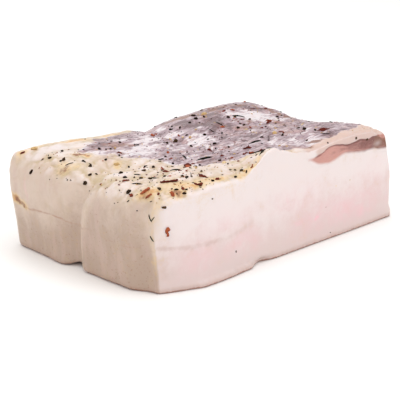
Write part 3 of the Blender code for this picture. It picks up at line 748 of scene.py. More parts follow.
def relief(places, normals, settings):
    """How far the surface stands out from its smooth form."""
    masks = surface_masks(places, normals)
    top = masks["top"]
    on_cut = masks["cut"] * (1 - top)
    # Lumps and swells, low on the walls and next to none on the cut
    lumps = fractals(places, 55, 3)
    swells = noises(places, 28)[:, 0]
    amount = top * (0.0009 * lumps + 0.0004 * swells)
    amount += (1 - top) * (1 - 0.8 * on_cut) * (0.0004 * lumps + 0.0006 * swells)
    # Knobs on the fat, wrinkles where it lies thin, and folds on the lean
    x, y, z = places.T
    upper = 0.6 * (1 - masks["cut"]) * fade(0.038, 0.054, z)
    knobbed = np.maximum(top * (1 - masks["lean"]), upper)
    amount += knobbed * settings.fat.lumps * knob_height(places)
    amount += masks["thin"] * 0.00035 * fractals(places, 260, 2, 3.0)
    folded = masks["lean"] * (1 - 0.5 * np.minimum(masks["pale"], 1)) * fade(0.056, 0.044, y)
    amount += folded * settings.lean.folds * fold_height(places)
    # The left end's skin hangs in soft upright folds
    drape = fractals(places * (30, 80, 14), 1.0, 2, 4.0)
    drape += 0.4 * fractals(places * (50, 190, 22), 1.0, 2, 9.0)
    amount += (1 - masks["cut"]) * (1 - top) * 0.0008 * drape
    amount -= 0.00030 * masks["seam"] * (1 - 0.6 * on_cut) * np.exp(-((masks["off_seam"] / 0.8) ** 2))
    # The rind's ragged edge at the foot, and where it is torn off along the cut
    ragged = fractals(places, 320, 2, 1.0)
    amount += fade(0.0024, 0.0012, z) * (0.00015 + 0.0004 * ragged) * (1 - top)
    torn = on_cut * fade(0.0060, 0.0020, z) * swell(x, z, (-0.034, 0.0), (0.018, 1.0))
    amount += torn * 0.0010 * (ragged - 0.2)
    amount *= 1 - 0.65 * top * fade(0.026, 0.046, y)
    return amount * np.minimum(z / 0.004, 1)


@functools.cache
def form():
    """The slab's smooth outside: its places, outward directions and faces."""
    settings = bpy.context.scene.lardo
    counts = (settings.fat.faces_long, settings.fat.faces_wide, settings.fat.faces_high)
    corners, quads = box_grid(counts)
    mesh = new_mesh("slab_form", surface(corners), quads)
    places = read(mesh.vertices, "co")
    normals = read(mesh.vertex_normals, "vector")
    bpy.data.meshes.remove(mesh)
    return places, normals, quads


@functools.cache
def slab():
    """The slab's outside, as places and faces, lean and fat together."""
    places, normals, quads = form()
    x, y, z = places.T
    places = places + normals * relief(places, normals, bpy.context.scene.lardo)[:, None]
    drop = sum(swell(x, y, (at_x, at_y), (long, wide)) * by for at_x, at_y, long, wide, by in SETTLED)
    places[:, 2] -= drop * fade(*SETTLED_HEIGHTS, z)
    under = places[:, 2] < FLAT_UNDER
    places[under, 2] = 0
    faces = quads[~under[quads].all(axis=1)]
    return places, faces, quads[under[quads].all(axis=1)]


@functools.cache
def bed():
    """The lean's whole outside before it is trimmed, to measure from."""
    settings = bpy.context.scene.lardo.lean
    mesh = lean_blank("bed", (settings.faces_long, settings.faces_wide, BLANK_LAYERS), 0)
    places = read(mesh.vertices, "co")
    faces = [tuple(face.vertices) for face in mesh.polygons]
    bpy.data.meshes.remove(mesh)
    return BVHTree.FromPolygons(places.tolist(), faces)


def bed_depth(places, top):
    """How far outside the lean's blank each place on a wall is, and whether its upper side is nearer."""
    into = np.full(len(places), 0.01)
    above = np.zeros(len(places), bool)
    for i in np.nonzero((top < 0.99) & (places[:, 2] > 0.030) & (places[:, 0] > -0.090))[0]:
        place = Vector(places[i])
        nearest, normal, _, away = bed().find_nearest(place)
        into[i] = away if (place - nearest).dot(normal) > 0 else -away
        above[i] = normal.z > 0
    return into, above


@functools.cache
def ground():
    """The slab's outside, for grains to be laid on."""
    places, faces, _ = slab()
    return BVHTree.FromPolygons(places.tolist(), faces.tolist())


def slab_mesh(name):
    """The slab's outside, closed by one flat face underneath."""
    places, faces, under = slab()
    bm = bmesh.new()
    mesh = new_mesh(name, places, np.concatenate([faces, under]))
    bm.from_mesh(mesh)
    bm.faces.ensure_lookup_table()
    bmesh.ops.dissolve_faces(bm, faces=bm.faces[len(faces) :])
    bm.to_mesh(mesh)
    bm.free()
    return mesh


def lean_blank(name, counts, grow):
    """The lean before it is trimmed to the slab's outside, grown by an amount on every side."""
    plan, quads = box_grid(counts)
    y = crowd(plan[:, 1], 0.6) * (WIDTH / 2 + 0.007)
    edge = curve(LEAN_EDGE, y)
    x = edge + ((plan[:, 0] + 1) / 2) ** 1.4 * (LENGTH / 2 + 0.010 - edge)
    cover = lean_cover(x, y)
    thin = LEAN_EDGE_DEPTH + np.maximum(cover, 0)
    at_cut = np.maximum(cover, 0) + curve(LEAN_AT_CUT, x)
    near_cut = fade(-0.040, -0.057, y)
    full = LEAN_DEPTH + (at_cut - LEAN_DEPTH) * near_cut
    taper = LEAN_TAPER[0] + (LEAN_TAPER[1] - LEAN_TAPER[0]) * near_cut
    depth = thin + (full - thin) * fade(0, taper, x - edge)
    depth_here = cover + (depth - cover) * (1 - plan[:, 2]) / 2
    mesh = new_mesh(name, np.stack(bulge(x, y, top_height(x, y) - depth_here), axis=1), quads)
    places = read(mesh.vertices, "co") + grow * read(mesh.vertex_normals, "vector")
    mesh.vertices.foreach_set("co", places.ravel())
    mesh.update()
    return mesh


def add_object(name, mesh):
    obj = bpy.data.objects.new(name, mesh)
    bpy.context.scene.collection.objects.link(obj)
    return obj


def evaluated_mesh(obj):
    """The object's finished mesh, with its modifiers taken off."""
    graph = bpy.context.evaluated_depsgraph_get()
    mesh = bpy.data.meshes.new_from_object(obj.evaluated_get(graph))
    obj.modifiers.clear()
    return mesh


def combine(obj, operation, blank):
    """Applies one Boolean between two closed pieces, and removes the second."""
    cutter = add_object("blank", blank)
    modifier = obj.modifiers.new(operation.title(), "BOOLEAN")
    modifier.operation = operation
    modifier.solver = "MANIFOLD"
    modifier.object = cutter
    obj.data = evaluated_mesh(obj)
    bpy.data.objects.remove(cutter)


def set_masks(obj):
    """Gives each corner of a piece its masks, from the slab's outside nearest to it."""
    mesh = obj.data
    places = read(mesh.vertices, "co")
    smooth_places, normals, _ = form()
    tree = KDTree(len(smooth_places))
    for i, place in enumerate(smooth_places):
        tree.insert(place, i)
    tree.balance()
    masks = surface_masks(places, normals[[tree.find(place)[1] for place in places]])
    masks["fold"] = 0.5 + 0.5 * fold_height(places)
    masks["knob"] = 0.5 + 0.5 * knob_height(places)
    for name, values in masks.items():
        set_attribute(mesh, name, values)


def finish_piece(obj, material, slot, *nodes):
    """Moves a piece's plan on to the frame's origin and ties it to the frame."""
    mesh = obj.data
    mesh.transform(Matrix.Translation((*PLAN_SHIFT, 0)))
    if material:
        mesh.materials.clear()
        mesh.materials.append(material)
    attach(obj, "root")
    if nodes:
        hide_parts(*nodes)


def add_food(name, operation, grow, material, slot, node):
    """One share of the slab, cut along the lean's bed, with its masks and its crisp rims."""
    settings = bpy.context.scene.lardo
    obj = add_object(name, slab_mesh(name))
    counts = (settings.lean.faces_long, settings.lean.faces_wide, BLANK_LAYERS)
    combine(obj, operation, lean_blank("blank", counts, grow))
    set_masks(obj)
    obj.data.shade_smooth()
    obj.data.set_sharp_from_angle(angle=math.radians(CRISP_ANGLE))
    finish_piece(obj, material, slot, node)


class Tree:
    """Adds nodes to a shader or geometry tree, from left to right, and links them."""

    def __init__(self, tree):
        self.tree = tree
        self.across = 0

    def add(self, kind, inputs=None, **settings):
        node = self.tree.nodes.new(kind)
        node.location = (self.across, 0)
        self.across += 180
        for name, value in settings.items():
            setattr(node, name, value)
        for socket, value in (inputs or {}).items():
            self.put(node.inputs[socket], value)
        return node

    def out(self, kind, inputs=None, output=0, **settings):
        """One output of a new node."""
        return self.add(kind, inputs, **settings).outputs[output]

    def put(self, socket, value):
        if isinstance(value, bpy.types.NodeSocket):
            self.tree.links.new(value, socket)
        elif socket.type == "RGBA" and len(value) == 3:
            socket.default_value = (*value, 1)
        else:
            socket.default_value = value

    def math(self, operation, *values, clamp=False):
        node = self.add("ShaderNodeMath", operation=operation, use_clamp=clamp)
        for socket, value in zip(node.inputs, values):
            self.put(socket, value)
        return node.outputs[0]

    def times(self, *values, **settings):
        return self.math("MULTIPLY", *values, **settings)

    def plus(self, *values):
        return self.math("ADD", *values)

    def less(self, *values):
        return self.math("SUBTRACT", *values)

    def scaled(self, value, by, plus):
        return self.math("MULTIPLY_ADD", value, by, plus)

    def vector(self, operation, *values):
        node = self.add("ShaderNodeVectorMath", operation=operation)
        for socket, value in zip(node.inputs, values):
            self.put(socket, value)
        return node.outputs[0]

    def mix(self, share, first, second):
        """A mix of two colours, through a mix node's colour sockets."""
        node = self.add("ShaderNodeMix", data_type="RGBA")
        self.put(node.inputs[0], share)
        self.put(node.inputs[6], first)
        self.put(node.inputs[7], second)
        return node.outputs[2]

    def step(self, value, low, high, to_low=0.0, to_high=1.0):
        """A smooth change from one value to another as the input goes from low to high."""
        inputs = {"Value": value, "From Min": low, "From Max": high, "To Min": to_low, "To Max": to_high}
        return self.out("ShaderNodeMapRange", inputs, interpolation_type="SMOOTHSTEP")

    def noise(self, place, scale, detail=2.0, roughness=0.5, warp=0.0):
        inputs = {"Vector": place, "Scale": scale, "Detail": detail, "Roughness": roughness}
        return self.out("ShaderNodeTexNoise", {**inputs, "Distortion": warp}, "Fac")

    def mask(self, name):
        return self.out("ShaderNodeAttribute", None, "Fac", attribute_name=name)

    def places(self):
        return self.out("ShaderNodeTexCoord", None, "Object")


def group_of(name, inputs, outputs, build):
    """A shader node group that is built once, with named inputs and outputs."""
    tree = bpy.data.node_groups.get(name)
    if tree:
        return tree
    tree = bpy.data.node_groups.new(name, "ShaderNodeTree")
    for label, kind, value in inputs:
        socket = tree.interface.new_socket(label, in_out="INPUT", socket_type=kind)
        socket.default_value = (*value, 1) if kind == "NodeSocketColor" else value
    for label, kind in outputs:
        tree.interface.new_socket(label, in_out="OUTPUT", socket_type=kind)
    nodes = Tree(tree)
    given = nodes.add("NodeGroupInput").outputs
    made = build(nodes, given)
    nodes.add("NodeGroupOutput", dict(zip((label for label, _ in outputs), made)))
    return tree


VALUE, COLOUR = "NodeSocketFloat", "NodeSocketColor"
FIBRE_TURN = 8.0  # degrees between the lean's fibres and the slab's length
# Each tone of the slab's outside, and the setting that it comes from
TONES = {
    "Cured": ("fat", "cured"),
    "Cured Low": ("fat", "cured_low"),
    "Cured Top": ("fat", "cured_top"),
    "Thin": ("fat", "thin"),
    "Cut": ("fat", "fresh"),
    "Cut Low": ("fat", "fresh_low"),
    "Blush": ("fat", "blush"),
    "Stain": ("fat", "stain"),
    "Stain Light": ("fat", "stain_light"),
    "Seam": ("fat", "seam"),
    "Rind": ("fat", "rind"),
    "Lean": ("lean", "lean"),
    "Lean Deep": ("lean", "deep"),
    "Lean Pale": ("lean", "pale"),
    "Brown": ("lean", "brown"),
    "Cut Lean": ("lean", "fresh"),
    "Cut Lean Deep": ("lean", "fresh_deep"),
}


def fibre_group():
    """Streaks and threads that run along the lean's fibres."""

    def build(nodes, given):
        turned = {"Vector": nodes.places(), "Rotation": (0, 0, math.radians(FIBRE_TURN))}
        turned = nodes.out("ShaderNodeMapping", turned)
        wander = nodes.out("ShaderNodeTexNoise", {"Vector": turned, "Scale": 55.0}, "Color")
        bent = nodes.vector("MULTIPLY_ADD", wander, (0.010, 0.010, 0.010), turned)
        streaks = nodes.vector("MULTIPLY", bent, (110, 420, 160))
        threads = nodes.vector("MULTIPLY", bent, (300, 1500, 500))
        wrinkles = nodes.noise(nodes.vector("MULTIPLY", bent, (95, 250, 120)), given["Scale"], 2.0, 0.6)
        away = nodes.math("ABSOLUTE", nodes.less(wrinkles, 0.5))
        return (
            nodes.noise(streaks, given["Scale"], 4.0, 0.65),
            nodes.noise(threads, given["Scale"], 2.0, 0.5),
            nodes.noise(bent, 150.0, 4.0, 0.65),
            nodes.step(away, 0.055, 0.0),
        )

    outputs = (("Streaks", VALUE), ("Threads", VALUE), ("Blotches", VALUE), ("Creases", VALUE))
    return group_of("Lean fibres", (("Scale", VALUE, 1.0),), outputs, build)


def mottle_group():
    """Soft clouds and fine grain of cured fat."""

    def build(nodes, given):
        place = nodes.places()
        clouds = nodes.noise(place, given["Clouds"], 4.0, 0.6, 0.3)
        grain = nodes.noise(place, given["Grain"], 3.0, 0.65)
        upright = nodes.vector("MULTIPLY", place, (1.0, 1.0, 0.22))
        streaks = nodes.noise(upright, given["Streaks"], 2.0, 0.5)
        return clouds, grain, streaks, nodes.noise(upright, given["Drapes"], 3.0, 0.55)

    inputs = (
        ("Clouds", VALUE, 90.0),
        ("Grain", VALUE, 700.0),
        ("Streaks", VALUE, 420.0),
        ("Drapes", VALUE, 130.0),
    )
    outputs = (("Clouds", VALUE), ("Grain", VALUE), ("Streaks", VALUE), ("Drapes", VALUE))
    return group_of("Fat mottling", inputs, outputs, build)


def outside_group():
    """The slab's whole outside, so that fat and lean run into each other on the top."""

    def build(nodes, given):
        mask, mix, step = nodes.mask, nodes.mix, nodes.step
        times, less, scaled = nodes.times, nodes.less, nodes.scaled

        def blend(share, low, high, first, second, most=1.0):
            return mix(step(share, low, high, 0.0, most), first, second)

        def broken(share, noise, amount):
            """A mask whose edge is broken up by a noise."""
            return scaled(less(noise, 0.5), amount, share)

        def total(start, *parts):
            """A sum of values, each of them times its weight."""
            for value, weight in parts:
                start = scaled(value, weight, start)
            return start

        mottle = nodes.add("ShaderNodeGroup", node_tree=mottle_group()).outputs
        fibres = nodes.add("ShaderNodeGroup", node_tree=fibre_group()).outputs
        clouds = step(mottle["Clouds"], 0.30, 0.70)
        top = mask("top")
        # Fat, from the cream top down to the wall's foot, where painted shade darkens it to a tan
        drapes = less(mottle["Drapes"], 0.5)
        hung = scaled(mask("cut"), -0.4, less(0.9, top))
        low = total(mask("low"), (clouds, 0.34), (less(mottle["Grain"], 0.6), 0.35), (drapes, hung))
        cured = blend(low, 0.10, 1.15, given["Cured"], given["Cured Low"])
        cured = blend(mottle["Drapes"], 0.48, 0.66, cured, given["Thin"], 0.35)
        cured = blend(fibres["Blotches"], 0.50, 0.68, cured, given["Cured Top"], 0.28)
        specks = times(step(mottle["Grain"], 0.58, 0.70), step(low, 0.5, 1.1))
        cured = mix(times(specks, 0.45), cured, given["Rind"])
        # Painted highlights on the top's knobs, in the cut fat's colour, and painted shade in the creases
        # between them, in Cured Top
        knob = broken(mask("knob"), mottle["Grain"], 0.5)
        knobs = times(step(knob, 0.35, 0.95, 0.05, 0.60), top)
        cured = mix(knobs, cured, given["Cut"])
        hollows = scaled(clouds, 0.60, step(knob, 0.50, 0.0, -0.15, 0.80))
        hollows = times(hollows, top, clamp=True)
        cured = mix(hollows, cured, given["Cured Top"])
        fresh = blend(low, 0.15, 1.10, given["Cut"], given["Cut Low"])
        fat = mix(mask("cut"), cured, fresh)
        thin = broken(mask("thin"), fibres["Blotches"], 1.1)
        fat = blend(thin, 0.15, 0.95, fat, given["Thin"], 0.85)
        bloom = times(broken(mask("pale"), mottle["Clouds"], 0.5), top)
        fat = blend(bloom, 0.15, 0.80, fat, given["Lean Pale"], 0.70)
        dull = times(broken(mask("deep"), mottle["Clouds"], 0.8), top)
        fat = blend(dull, 0.15, 1.0, fat, given["Cured Top"], 0.85)
        blush = times(mask("blush"), step(mottle["Clouds"], 0.1, 0.8))
        fat = mix(blush, fat, given["Blush"])
        line = times(mask("seam"), step(mask("off_seam"), 1.2, 0.1))
        fat = blend(broken(line, mottle["Clouds"], 1.0), 0.05, 1.0, fat, given["Seam"], 0.9)
        place = nodes.add("ShaderNodeSeparateXYZ", {"Vector": nodes.places()}).outputs
        foot = scaled(less(mottle["Streaks"], 0.5), 0.0018, place["Z"])
        fat = blend(foot, 0.0042, 0.0014, fat, given["Seam"], 0.35)
        fat = blend(foot, 0.0015, 0.0006, fat, given["Rind"], 0.80)
        # Lean: painted shade in the hollows between its folds and along its creases, painted highlights
        # on the folds' ridges
        streaks = less(fibres["Streaks"], 0.5)
        blotches = less(fibres["Blotches"], 0.5)
        tone = total(0.27, (mask("fold"), 0.55), (streaks, 1.8), (blotches, 1.4))
        # The pale marks lighten it, partly pale patches and partly painted sheen
        tone = total(tone, (mask("deep"), -0.38), (mask("pale"), 0.75), (fibres["Creases"], -0.42))
        # A film of fat lies over it towards its edge
        tone = nodes.plus(tone, step(mask("lean"), 0.98, 0.35, 0.0, 0.45))
        lean = blend(tone, 0.08, 0.50, given["Lean Deep"], given["Lean"])
        pink = scaled(mottle["Drapes"], 0.6, mottle["Clouds"])
        lean = blend(pink, 0.78, 1.05, lean, given["Cut Lean"], 0.35)
        lean = blend(tone, 0.52, 1.00, lean, given["Lean Pale"])
        smear = scaled(blotches, 1.1, streaks)
        # At the cut its fibres run alongside its edges
        far = times(mask("off_bed"), 0.9)
        beside = {"X": times(place["X"], 90.0), "Y": times(place["Y"], 90.0), "Z": far}
        beside = nodes.out("ShaderNodeCombineXYZ", beside)
        grain = less(nodes.noise(beside, 1.0, 3.0, 0.6), 0.5)
        wall = scaled(grain, 1.3, mask("deep"))
        wall = blend(wall, 0.0, 0.95, given["Cut Lean"], given["Cut Lean Deep"])
        on_wall = mask("wall")
        lean = mix(on_wall, lean, wall)
        uneven = times(smear, 0.85)
        share = step(nodes.plus(mask("lean"), uneven), 0.30, 0.70)
        crisp = step(mask("off_bed"), 0.25, -0.45)
        soft = step(mask("off_bed"), 1.0, -1.6)
        share = mix(on_wall, share, mix(mask("above"), soft, crisp))
        mixed = mix(share, fat, lean)
        patchy = scaled(drapes, 0.8, smear)
        patchy = step(patchy, -0.25, 0.25, 0.25, 1.2)
        stain = broken(broken(mask("stain"), mottle["Clouds"], 1.2), mottle["Grain"], 0.9)
        mixed = blend(stain, 0.08, 0.85, mixed, given["Stain Light"], 0.75)
        mixed = blend(stain, 0.60, 1.20, mixed, given["Stain"], 0.75)
        brown = times(mask("brown"), patchy)
        mixed = blend(brown, 0.15, 0.90, mixed, given["Brown"], 0.85)
        # A painted glint on the lean at the cut, in Lean Pale
        mixed = mix(times(mask("pale"), times(on_wall, 0.38)), mixed, given["Lean Pale"])
        # Height of the finest grain, and gloss
        rises = scaled(mottle["Grain"], 0.5, times(fibres["Threads"], share))
        saw = times(mottle["Streaks"], times(mask("cut"), 0.25))
        smooth = scaled(mask("cut"), -0.8, 1.0)
        rises = total(saw, (rises, smooth), (times(fibres["Creases"], share), -0.5))
        return mixed, total(0.34, (mottle["Grain"], 0.20), (share, -0.08)), rises

    inputs = [(label, COLOUR, (0.8, 0.8, 0.8)) for label in TONES]
    outputs = (("Colour", COLOUR), ("Roughness", VALUE), ("Height", VALUE))
    return group_of("Slab outside", inputs, outputs, build)


def new_material(name):
    material = bpy.data.materials.new(name)
    material.use_nodes = True
    nodes = Tree(material.node_tree)
    return material, nodes, material.node_tree.nodes["Principled BSDF"]


def flesh_material(name, subsurface, radius, bump):
    """Fat or lean: the slab's outside over a flesh that light soaks into."""
    settings = bpy.context.scene.lardo
    material, nodes, shader = new_material(name)
    colours = {label: getattr(getattr(settings, part), tone) for label, (part, tone) in TONES.items()}
    outside = nodes.add("ShaderNodeGroup", colours, node_tree=outside_group()).outputs
    bumps = {"Height": outside["Height"], "Strength": bump, "Distance": 0.0004}
    nodes.put(shader.inputs["Base Color"], outside["Colour"])
    nodes.put(shader.inputs["Roughness"], outside["Roughness"])
    nodes.put(shader.inputs["Normal"], nodes.out("ShaderNodeBump", bumps))
    shader.inputs["Subsurface Weight"].default_value = subsurface
    shader.inputs["Subsurface Radius"].default_value = radius
    shader.inputs["Subsurface Scale"].default_value = 0.0010
    shader.inputs["IOR"].default_value = 1.44
    return material


class LARDO_OT_add_fat(bpy.types.Operator):
    """Add the slab's fat, with the bed that the lean lies in"""

    bl_idname = "lardo.add_fat"
    bl_label = "Add Fat"

    def execute(self, context):
        material = flesh_material("cured fat", 0.30, (1.0, 0.75, 0.62), 0.35)
        joint = context.scene.lardo.fat.joint
        add_food("fat_body", "DIFFERENCE", joint, material, "fat", "fat_slab")
        return {"FINISHED"}


class LARDO_OT_add_lean(bpy.types.Operator):
    """Add the layer of lean that lies bare on the top and shows at the cut"""

    bl_idname = "lardo.add_lean"
    bl_label = "Add Lean"

    def execute(self, context):
        material = flesh_material("cured lean", 0.25, (1.0, 0.70, 0.60), 0.45)
        add_food("lean_meat", "INTERSECT", 0, material, "lean", "lean_layer")
        return {"FINISHED"}


def grain_material(name, tone, second):
    """One spice: two tones that change from grain to grain and within each."""
    material, nodes, shader = new_material(name)
    inside = nodes.noise(nodes.places(), 700.0, 3.0, 0.6)
    share = nodes.scaled(inside, 2.4, -1.25)
    share = nodes.scaled(nodes.mask("shade"), 0.9, share)
    nodes.put(shader.inputs["Base Color"], nodes.mix(nodes.step(share, 0.25, 1.10), tone, second))
    shader.inputs["Specular IOR Level"].default_value = 0.06
    nodes.put(shader.inputs["Roughness"], nodes.scaled(inside, 0.25, 0.50))
    bumps = {"Height": inside, "Strength": 0.5, "Distance": 0.0002}
    nodes.put(shader.inputs["Normal"], nodes.out("ShaderNodeBump", bumps))
    return material


# Each kind's finish, and the second tone that its grains turn to
SPICES = {
    "pepper": ("cracked pepper", (84, 62, 42)),
    "chilli": ("dried chilli", (172, 90, 58)),
    "herb": ("dried herb", (48, 47, 32)),
    "crumb": ("spice crumb", (228, 206, 166)),
}


def named(nodes, name, kind):
    """An attribute of the geometry, by its name."""
    return nodes.out("GeometryNodeInputNamedAttribute", {"Name": name}, data_type=kind)


def painted(nodes, geometry, given):
    """The geometry with the material that the tree was given."""
    return nodes.out("GeometryNodeSetMaterial", {"Geometry": geometry, "Material": given["Material"]})


def grain_shape(nodes, kind, given):
    """The plain grain that is set on each point, 1 long."""
    if kind != "herb":
        ball = {"Radius": 0.5, "Subdivisions": given["Detail"]}
        return nodes.out("GeometryNodeMeshIcoSphere", ball, "Mesh")
    stem = {"Vertices": 6, "Side Segments": 9, "Radius": 0.5, "Depth": 1.0}
    stem = nodes.out("GeometryNodeMeshCylinder", stem, "Mesh")
    laid = nodes.out("GeometryNodeTransform", {"Geometry": stem, "Rotation": (0, math.pi / 2, 0)})
    # It tapers to both ends and bows up in the middle
    place = nodes.out("GeometryNodeInputPosition")
    along, across, up = nodes.add("ShaderNodeSeparateXYZ", {"Vector": place}).outputs
    taper = nodes.math("POWER", nodes.times(nodes.math("ABSOLUTE", along), 2.0), 3.0)
    share = nodes.scaled(taper, -0.62, 1.0)
    bow = nodes.scaled(nodes.times(along, along), -2.4, 0.3)
    bent = {"X": along, "Y": nodes.times(across, share), "Z": nodes.scaled(up, share, bow)}
    bent = nodes.out("ShaderNodeCombineXYZ", bent)
    return nodes.out("GeometryNodeSetPosition", {"Geometry": laid, "Position": bent})


def set_grains(kind, nodes, given):
    """Sets a grain on each point, at its size and turn, and roughens each one differently."""
    turn = {"Euler": named(nodes, "turn", "FLOAT_VECTOR")}
    laid = {
        "Points": given["Geometry"],
        "Instance": grain_shape(nodes, kind, given),
        "Rotation": nodes.out("FunctionNodeEulerToRotation", turn),
        "Scale": named(nodes, "size", "FLOAT_VECTOR"),
    }
    laid = nodes.out("GeometryNodeInstanceOnPoints", laid)
    real = nodes.out("GeometryNodeRealizeInstances", {"Geometry": laid})
    bumps = {"Vector": nodes.out("GeometryNodeInputPosition"), "Scale": given["Facets"], "Detail": 1.0}
    push = nodes.vector("SUBTRACT", nodes.out("ShaderNodeTexNoise", bumps, "Color"), (0.5, 0.5, 0.5))
    reach = nodes.times(named(nodes, "bulk", "FLOAT"), given["Roughness"])
    push = nodes.out("ShaderNodeVectorMath", {0: push, "Scale": reach}, operation="SCALE")
    moved = nodes.out("GeometryNodeSetPosition", {"Geometry": real, "Offset": push})
    shaded = {"Geometry": moved, "Shade Smooth": given["Smooth"]}
    return painted(nodes, nodes.out("GeometryNodeSetShadeSmooth", shaded), given)


SOCKETS = {bool: "NodeSocketBool", int: "NodeSocketInt", float: "NodeSocketFloat"}


def grow(obj, name, build, values):
    """Builds a geometry tree with a named input for each value, and keeps its result as a plain mesh."""
    tree = bpy.data.node_groups.new(name, "GeometryNodeTree")
    for way in ("INPUT", "OUTPUT"):
        tree.interface.new_socket("Geometry", in_out=way, socket_type="NodeSocketGeometry")
    ids = {}
    for label, value in values.items():
        kind = SOCKETS.get(type(value), "NodeSocketMaterial")
        socket = tree.interface.new_socket(label, in_out="INPUT", socket_type=kind)
        if type(value) in SOCKETS:
            socket.default_value = value
        ids[socket.identifier] = value
    nodes = Tree(tree)
    made = build(nodes, nodes.add("NodeGroupInput").outputs)
    nodes.add("NodeGroupOutput", {"Geometry": made})
    modifier = obj.modifiers.new("Grow", "NODES")
    modifier.node_group = tree
    for identifier, value in ids.items():
        modifier[identifier] = value
    obj.data = evaluated_mesh(obj)


def grain_points(name, rows):
    """A mesh of points, each with the size and turn of the grain that goes there."""
    mesh = bpy.data.meshes.new(name)
    mesh.from_pydata([tuple(row[0]) for row in rows], [], [])
    _, sizes, turns, shades, bulks = zip(*rows)
    set_attribute(mesh, "size", sizes)
    set_attribute(mesh, "turn", turns)
    set_attribute(mesh, "shade", shades)
    set_attribute(mesh, "bulk", bulks)
    return mesh


# How each kind is built: piece, detail, roughness as a share of its bulk, facets per metre, smooth
KINDS = {
    "pepper": ("cracked_pepper", 2, 1.05, 620.0, False),
    "chilli": ("chilli_flakes", 3, 2.30, 500.0, True),
    "herb": ("herb_needles", 1, 0.50, 240.0, True),
    "crumb": ("spice_crumbs", 2, 0.90, 700.0, False),
}


def rub_rows():
    """Every large grain, as its kind and its place, size, turn, shade and bulk."""
    rng = random.Random(SEED + 1)
    shapes = {kind: shares for kind, _, shares, _ in RUB}
    laid = []

    def drop(kind, x, y, length, turn, tilt=0.0):
        at, up = ground().ray_cast(Vector((x, y, 1)), Vector((0, 0, -1)))[:2]
        laid.append((kind, length, Vector((math.cos(turn), math.sin(turn), 0)), tilt, at, up))

    for grain in rub_grains():
        drop(*grain)
    for kind, spots in SMALL_GRAINS.items():
        for x, y, length in spots:
            drop(kind, x, y, length, rng.uniform(0, math.tau))
    for x, y, z, length, kind, ahead in WALL_GRAINS:
        laid.append((kind, length, Vector(ahead), 0.0, *ground().find_nearest(Vector((x, y, z)))[:2]))
    for kind, length, ahead, tilt, at, up in laid:
        broad, high = shapes[kind]
        on_top = up.z > UPWARD
        if kind == "herb":
            broad = high = broad * NEEDLE_BREADTH[on_top]
        if kind == "chilli":
            broad = broad * min(1, FLAKE_REACH[0] / length)
            high = high * min(1, FLAKE_REACH[1] / length) ** 2
        size = (length, length * broad * rng.uniform(*BREADTHS), length * high * rng.uniform(*HEIGHTS))
        across = up.cross(ahead).normalized()
        lie = Matrix((across.cross(up), across, up)).transposed()
        spin = lie @ Matrix.Rotation(tilt * min(1, LEVEL_LENGTH / length), 3, "Y")
        shade = rng.random() if on_top else 1.0
        if on_top and length > LARGE_GRAIN:
            shade = LARGE_SHADE
        yield kind, (at + up * size[2] * LIFT, size, spin.to_euler(), shade, min(size))


class LARDO_OT_add_rub(bpy.types.Operator):
    """Add the rub's larger grains: cracked pepper, chilli flakes, herb needles and spice crumbs"""

    bl_idname = "lardo.add_rub"
    bl_label = "Add Rub"

    def execute(self, context):
        rub = context.scene.lardo.rub
        rows = list(rub_rows())
        labels = ("Detail", "Roughness", "Facets", "Smooth", "Material")
        for kind, (name, *shape) in KINDS.items():
            obj = add_object(name, grain_points(name, [row for k, row in rows if k == kind]))
            finish, second = SPICES[kind]
            material = grain_material(finish, getattr(rub, kind), colour(*second))
            values = dict(zip(labels, (*shape, material)))
            grow(obj, kind + " grains", functools.partial(set_grains, kind), values)
            finish_piece(obj, None, "spice")
        return {"FINISHED"}


# Fine bits: kind, share of the most, shortest and longest, breadth and height as shares of the length
DUST = (
    ("pepper", 0.7, 0.0007, 0.0019, 0.80, 0.55),
    ("chilli", 0.7, 0.0008, 0.0026, 0.60, 0.28),
    ("herb", 0.3, 0.0009, 0.0030, 0.35, 0.25),
    ("crumb", 0.7, 0.0007, 0.0020, 0.75, 0.45),
)
DUST_FLOOR = 0.045  # lowest faces that they lie on
DUST_SHIFT = 0.008  # how much nearer the cut than the larger grains they lie thickest


class LARDO_OT_add_fine_rub(bpy.types.Operator):
    """Add the fine bits of rub between the larger grains"""

    bl_idname = "lardo.add_fine_rub"
    bl_label = "Add Fine Rub"

    def execute(self, context):
        places, faces, _ = slab()
        tops = faces[places[faces][:, :, 2].min(axis=1) > DUST_FLOOR]
        x, y, _ = places.T
        labels = ("Most", "Shortest", "Longest", "Breadth", "Height", "Seed", "Material")
        for index, (kind, share, *shape) in enumerate(DUST):
            name = kind + "_dust"
            mesh = new_mesh(name, places, tops)
            normals = read(mesh.vertex_normals, "vector")
            clumps = fade(-0.45, 0.35, fractals(places, 95, 2, 11.0 + index))
            rub = 0.04 + 0.96 * np.minimum(density(x, y + DUST_SHIFT), 1)
            rub *= fade(0.30, 0.75, normals[:, 2]) * fade(0.054, 0.040, y)
            set_attribute(mesh, "rub", rub * (0.15 + 0.85 * clumps))
            obj = add_object(name, mesh)
            most = float(context.scene.lardo.rub.dust * share)
            material = bpy.data.materials[SPICES[kind][0]]
            values = dict(zip(labels, (most, *shape, SEED + index, material)))
            grow(obj, kind + " dust", scatter, values)
            finish_piece(obj, None, "spice")
        return {"FINISHED"}


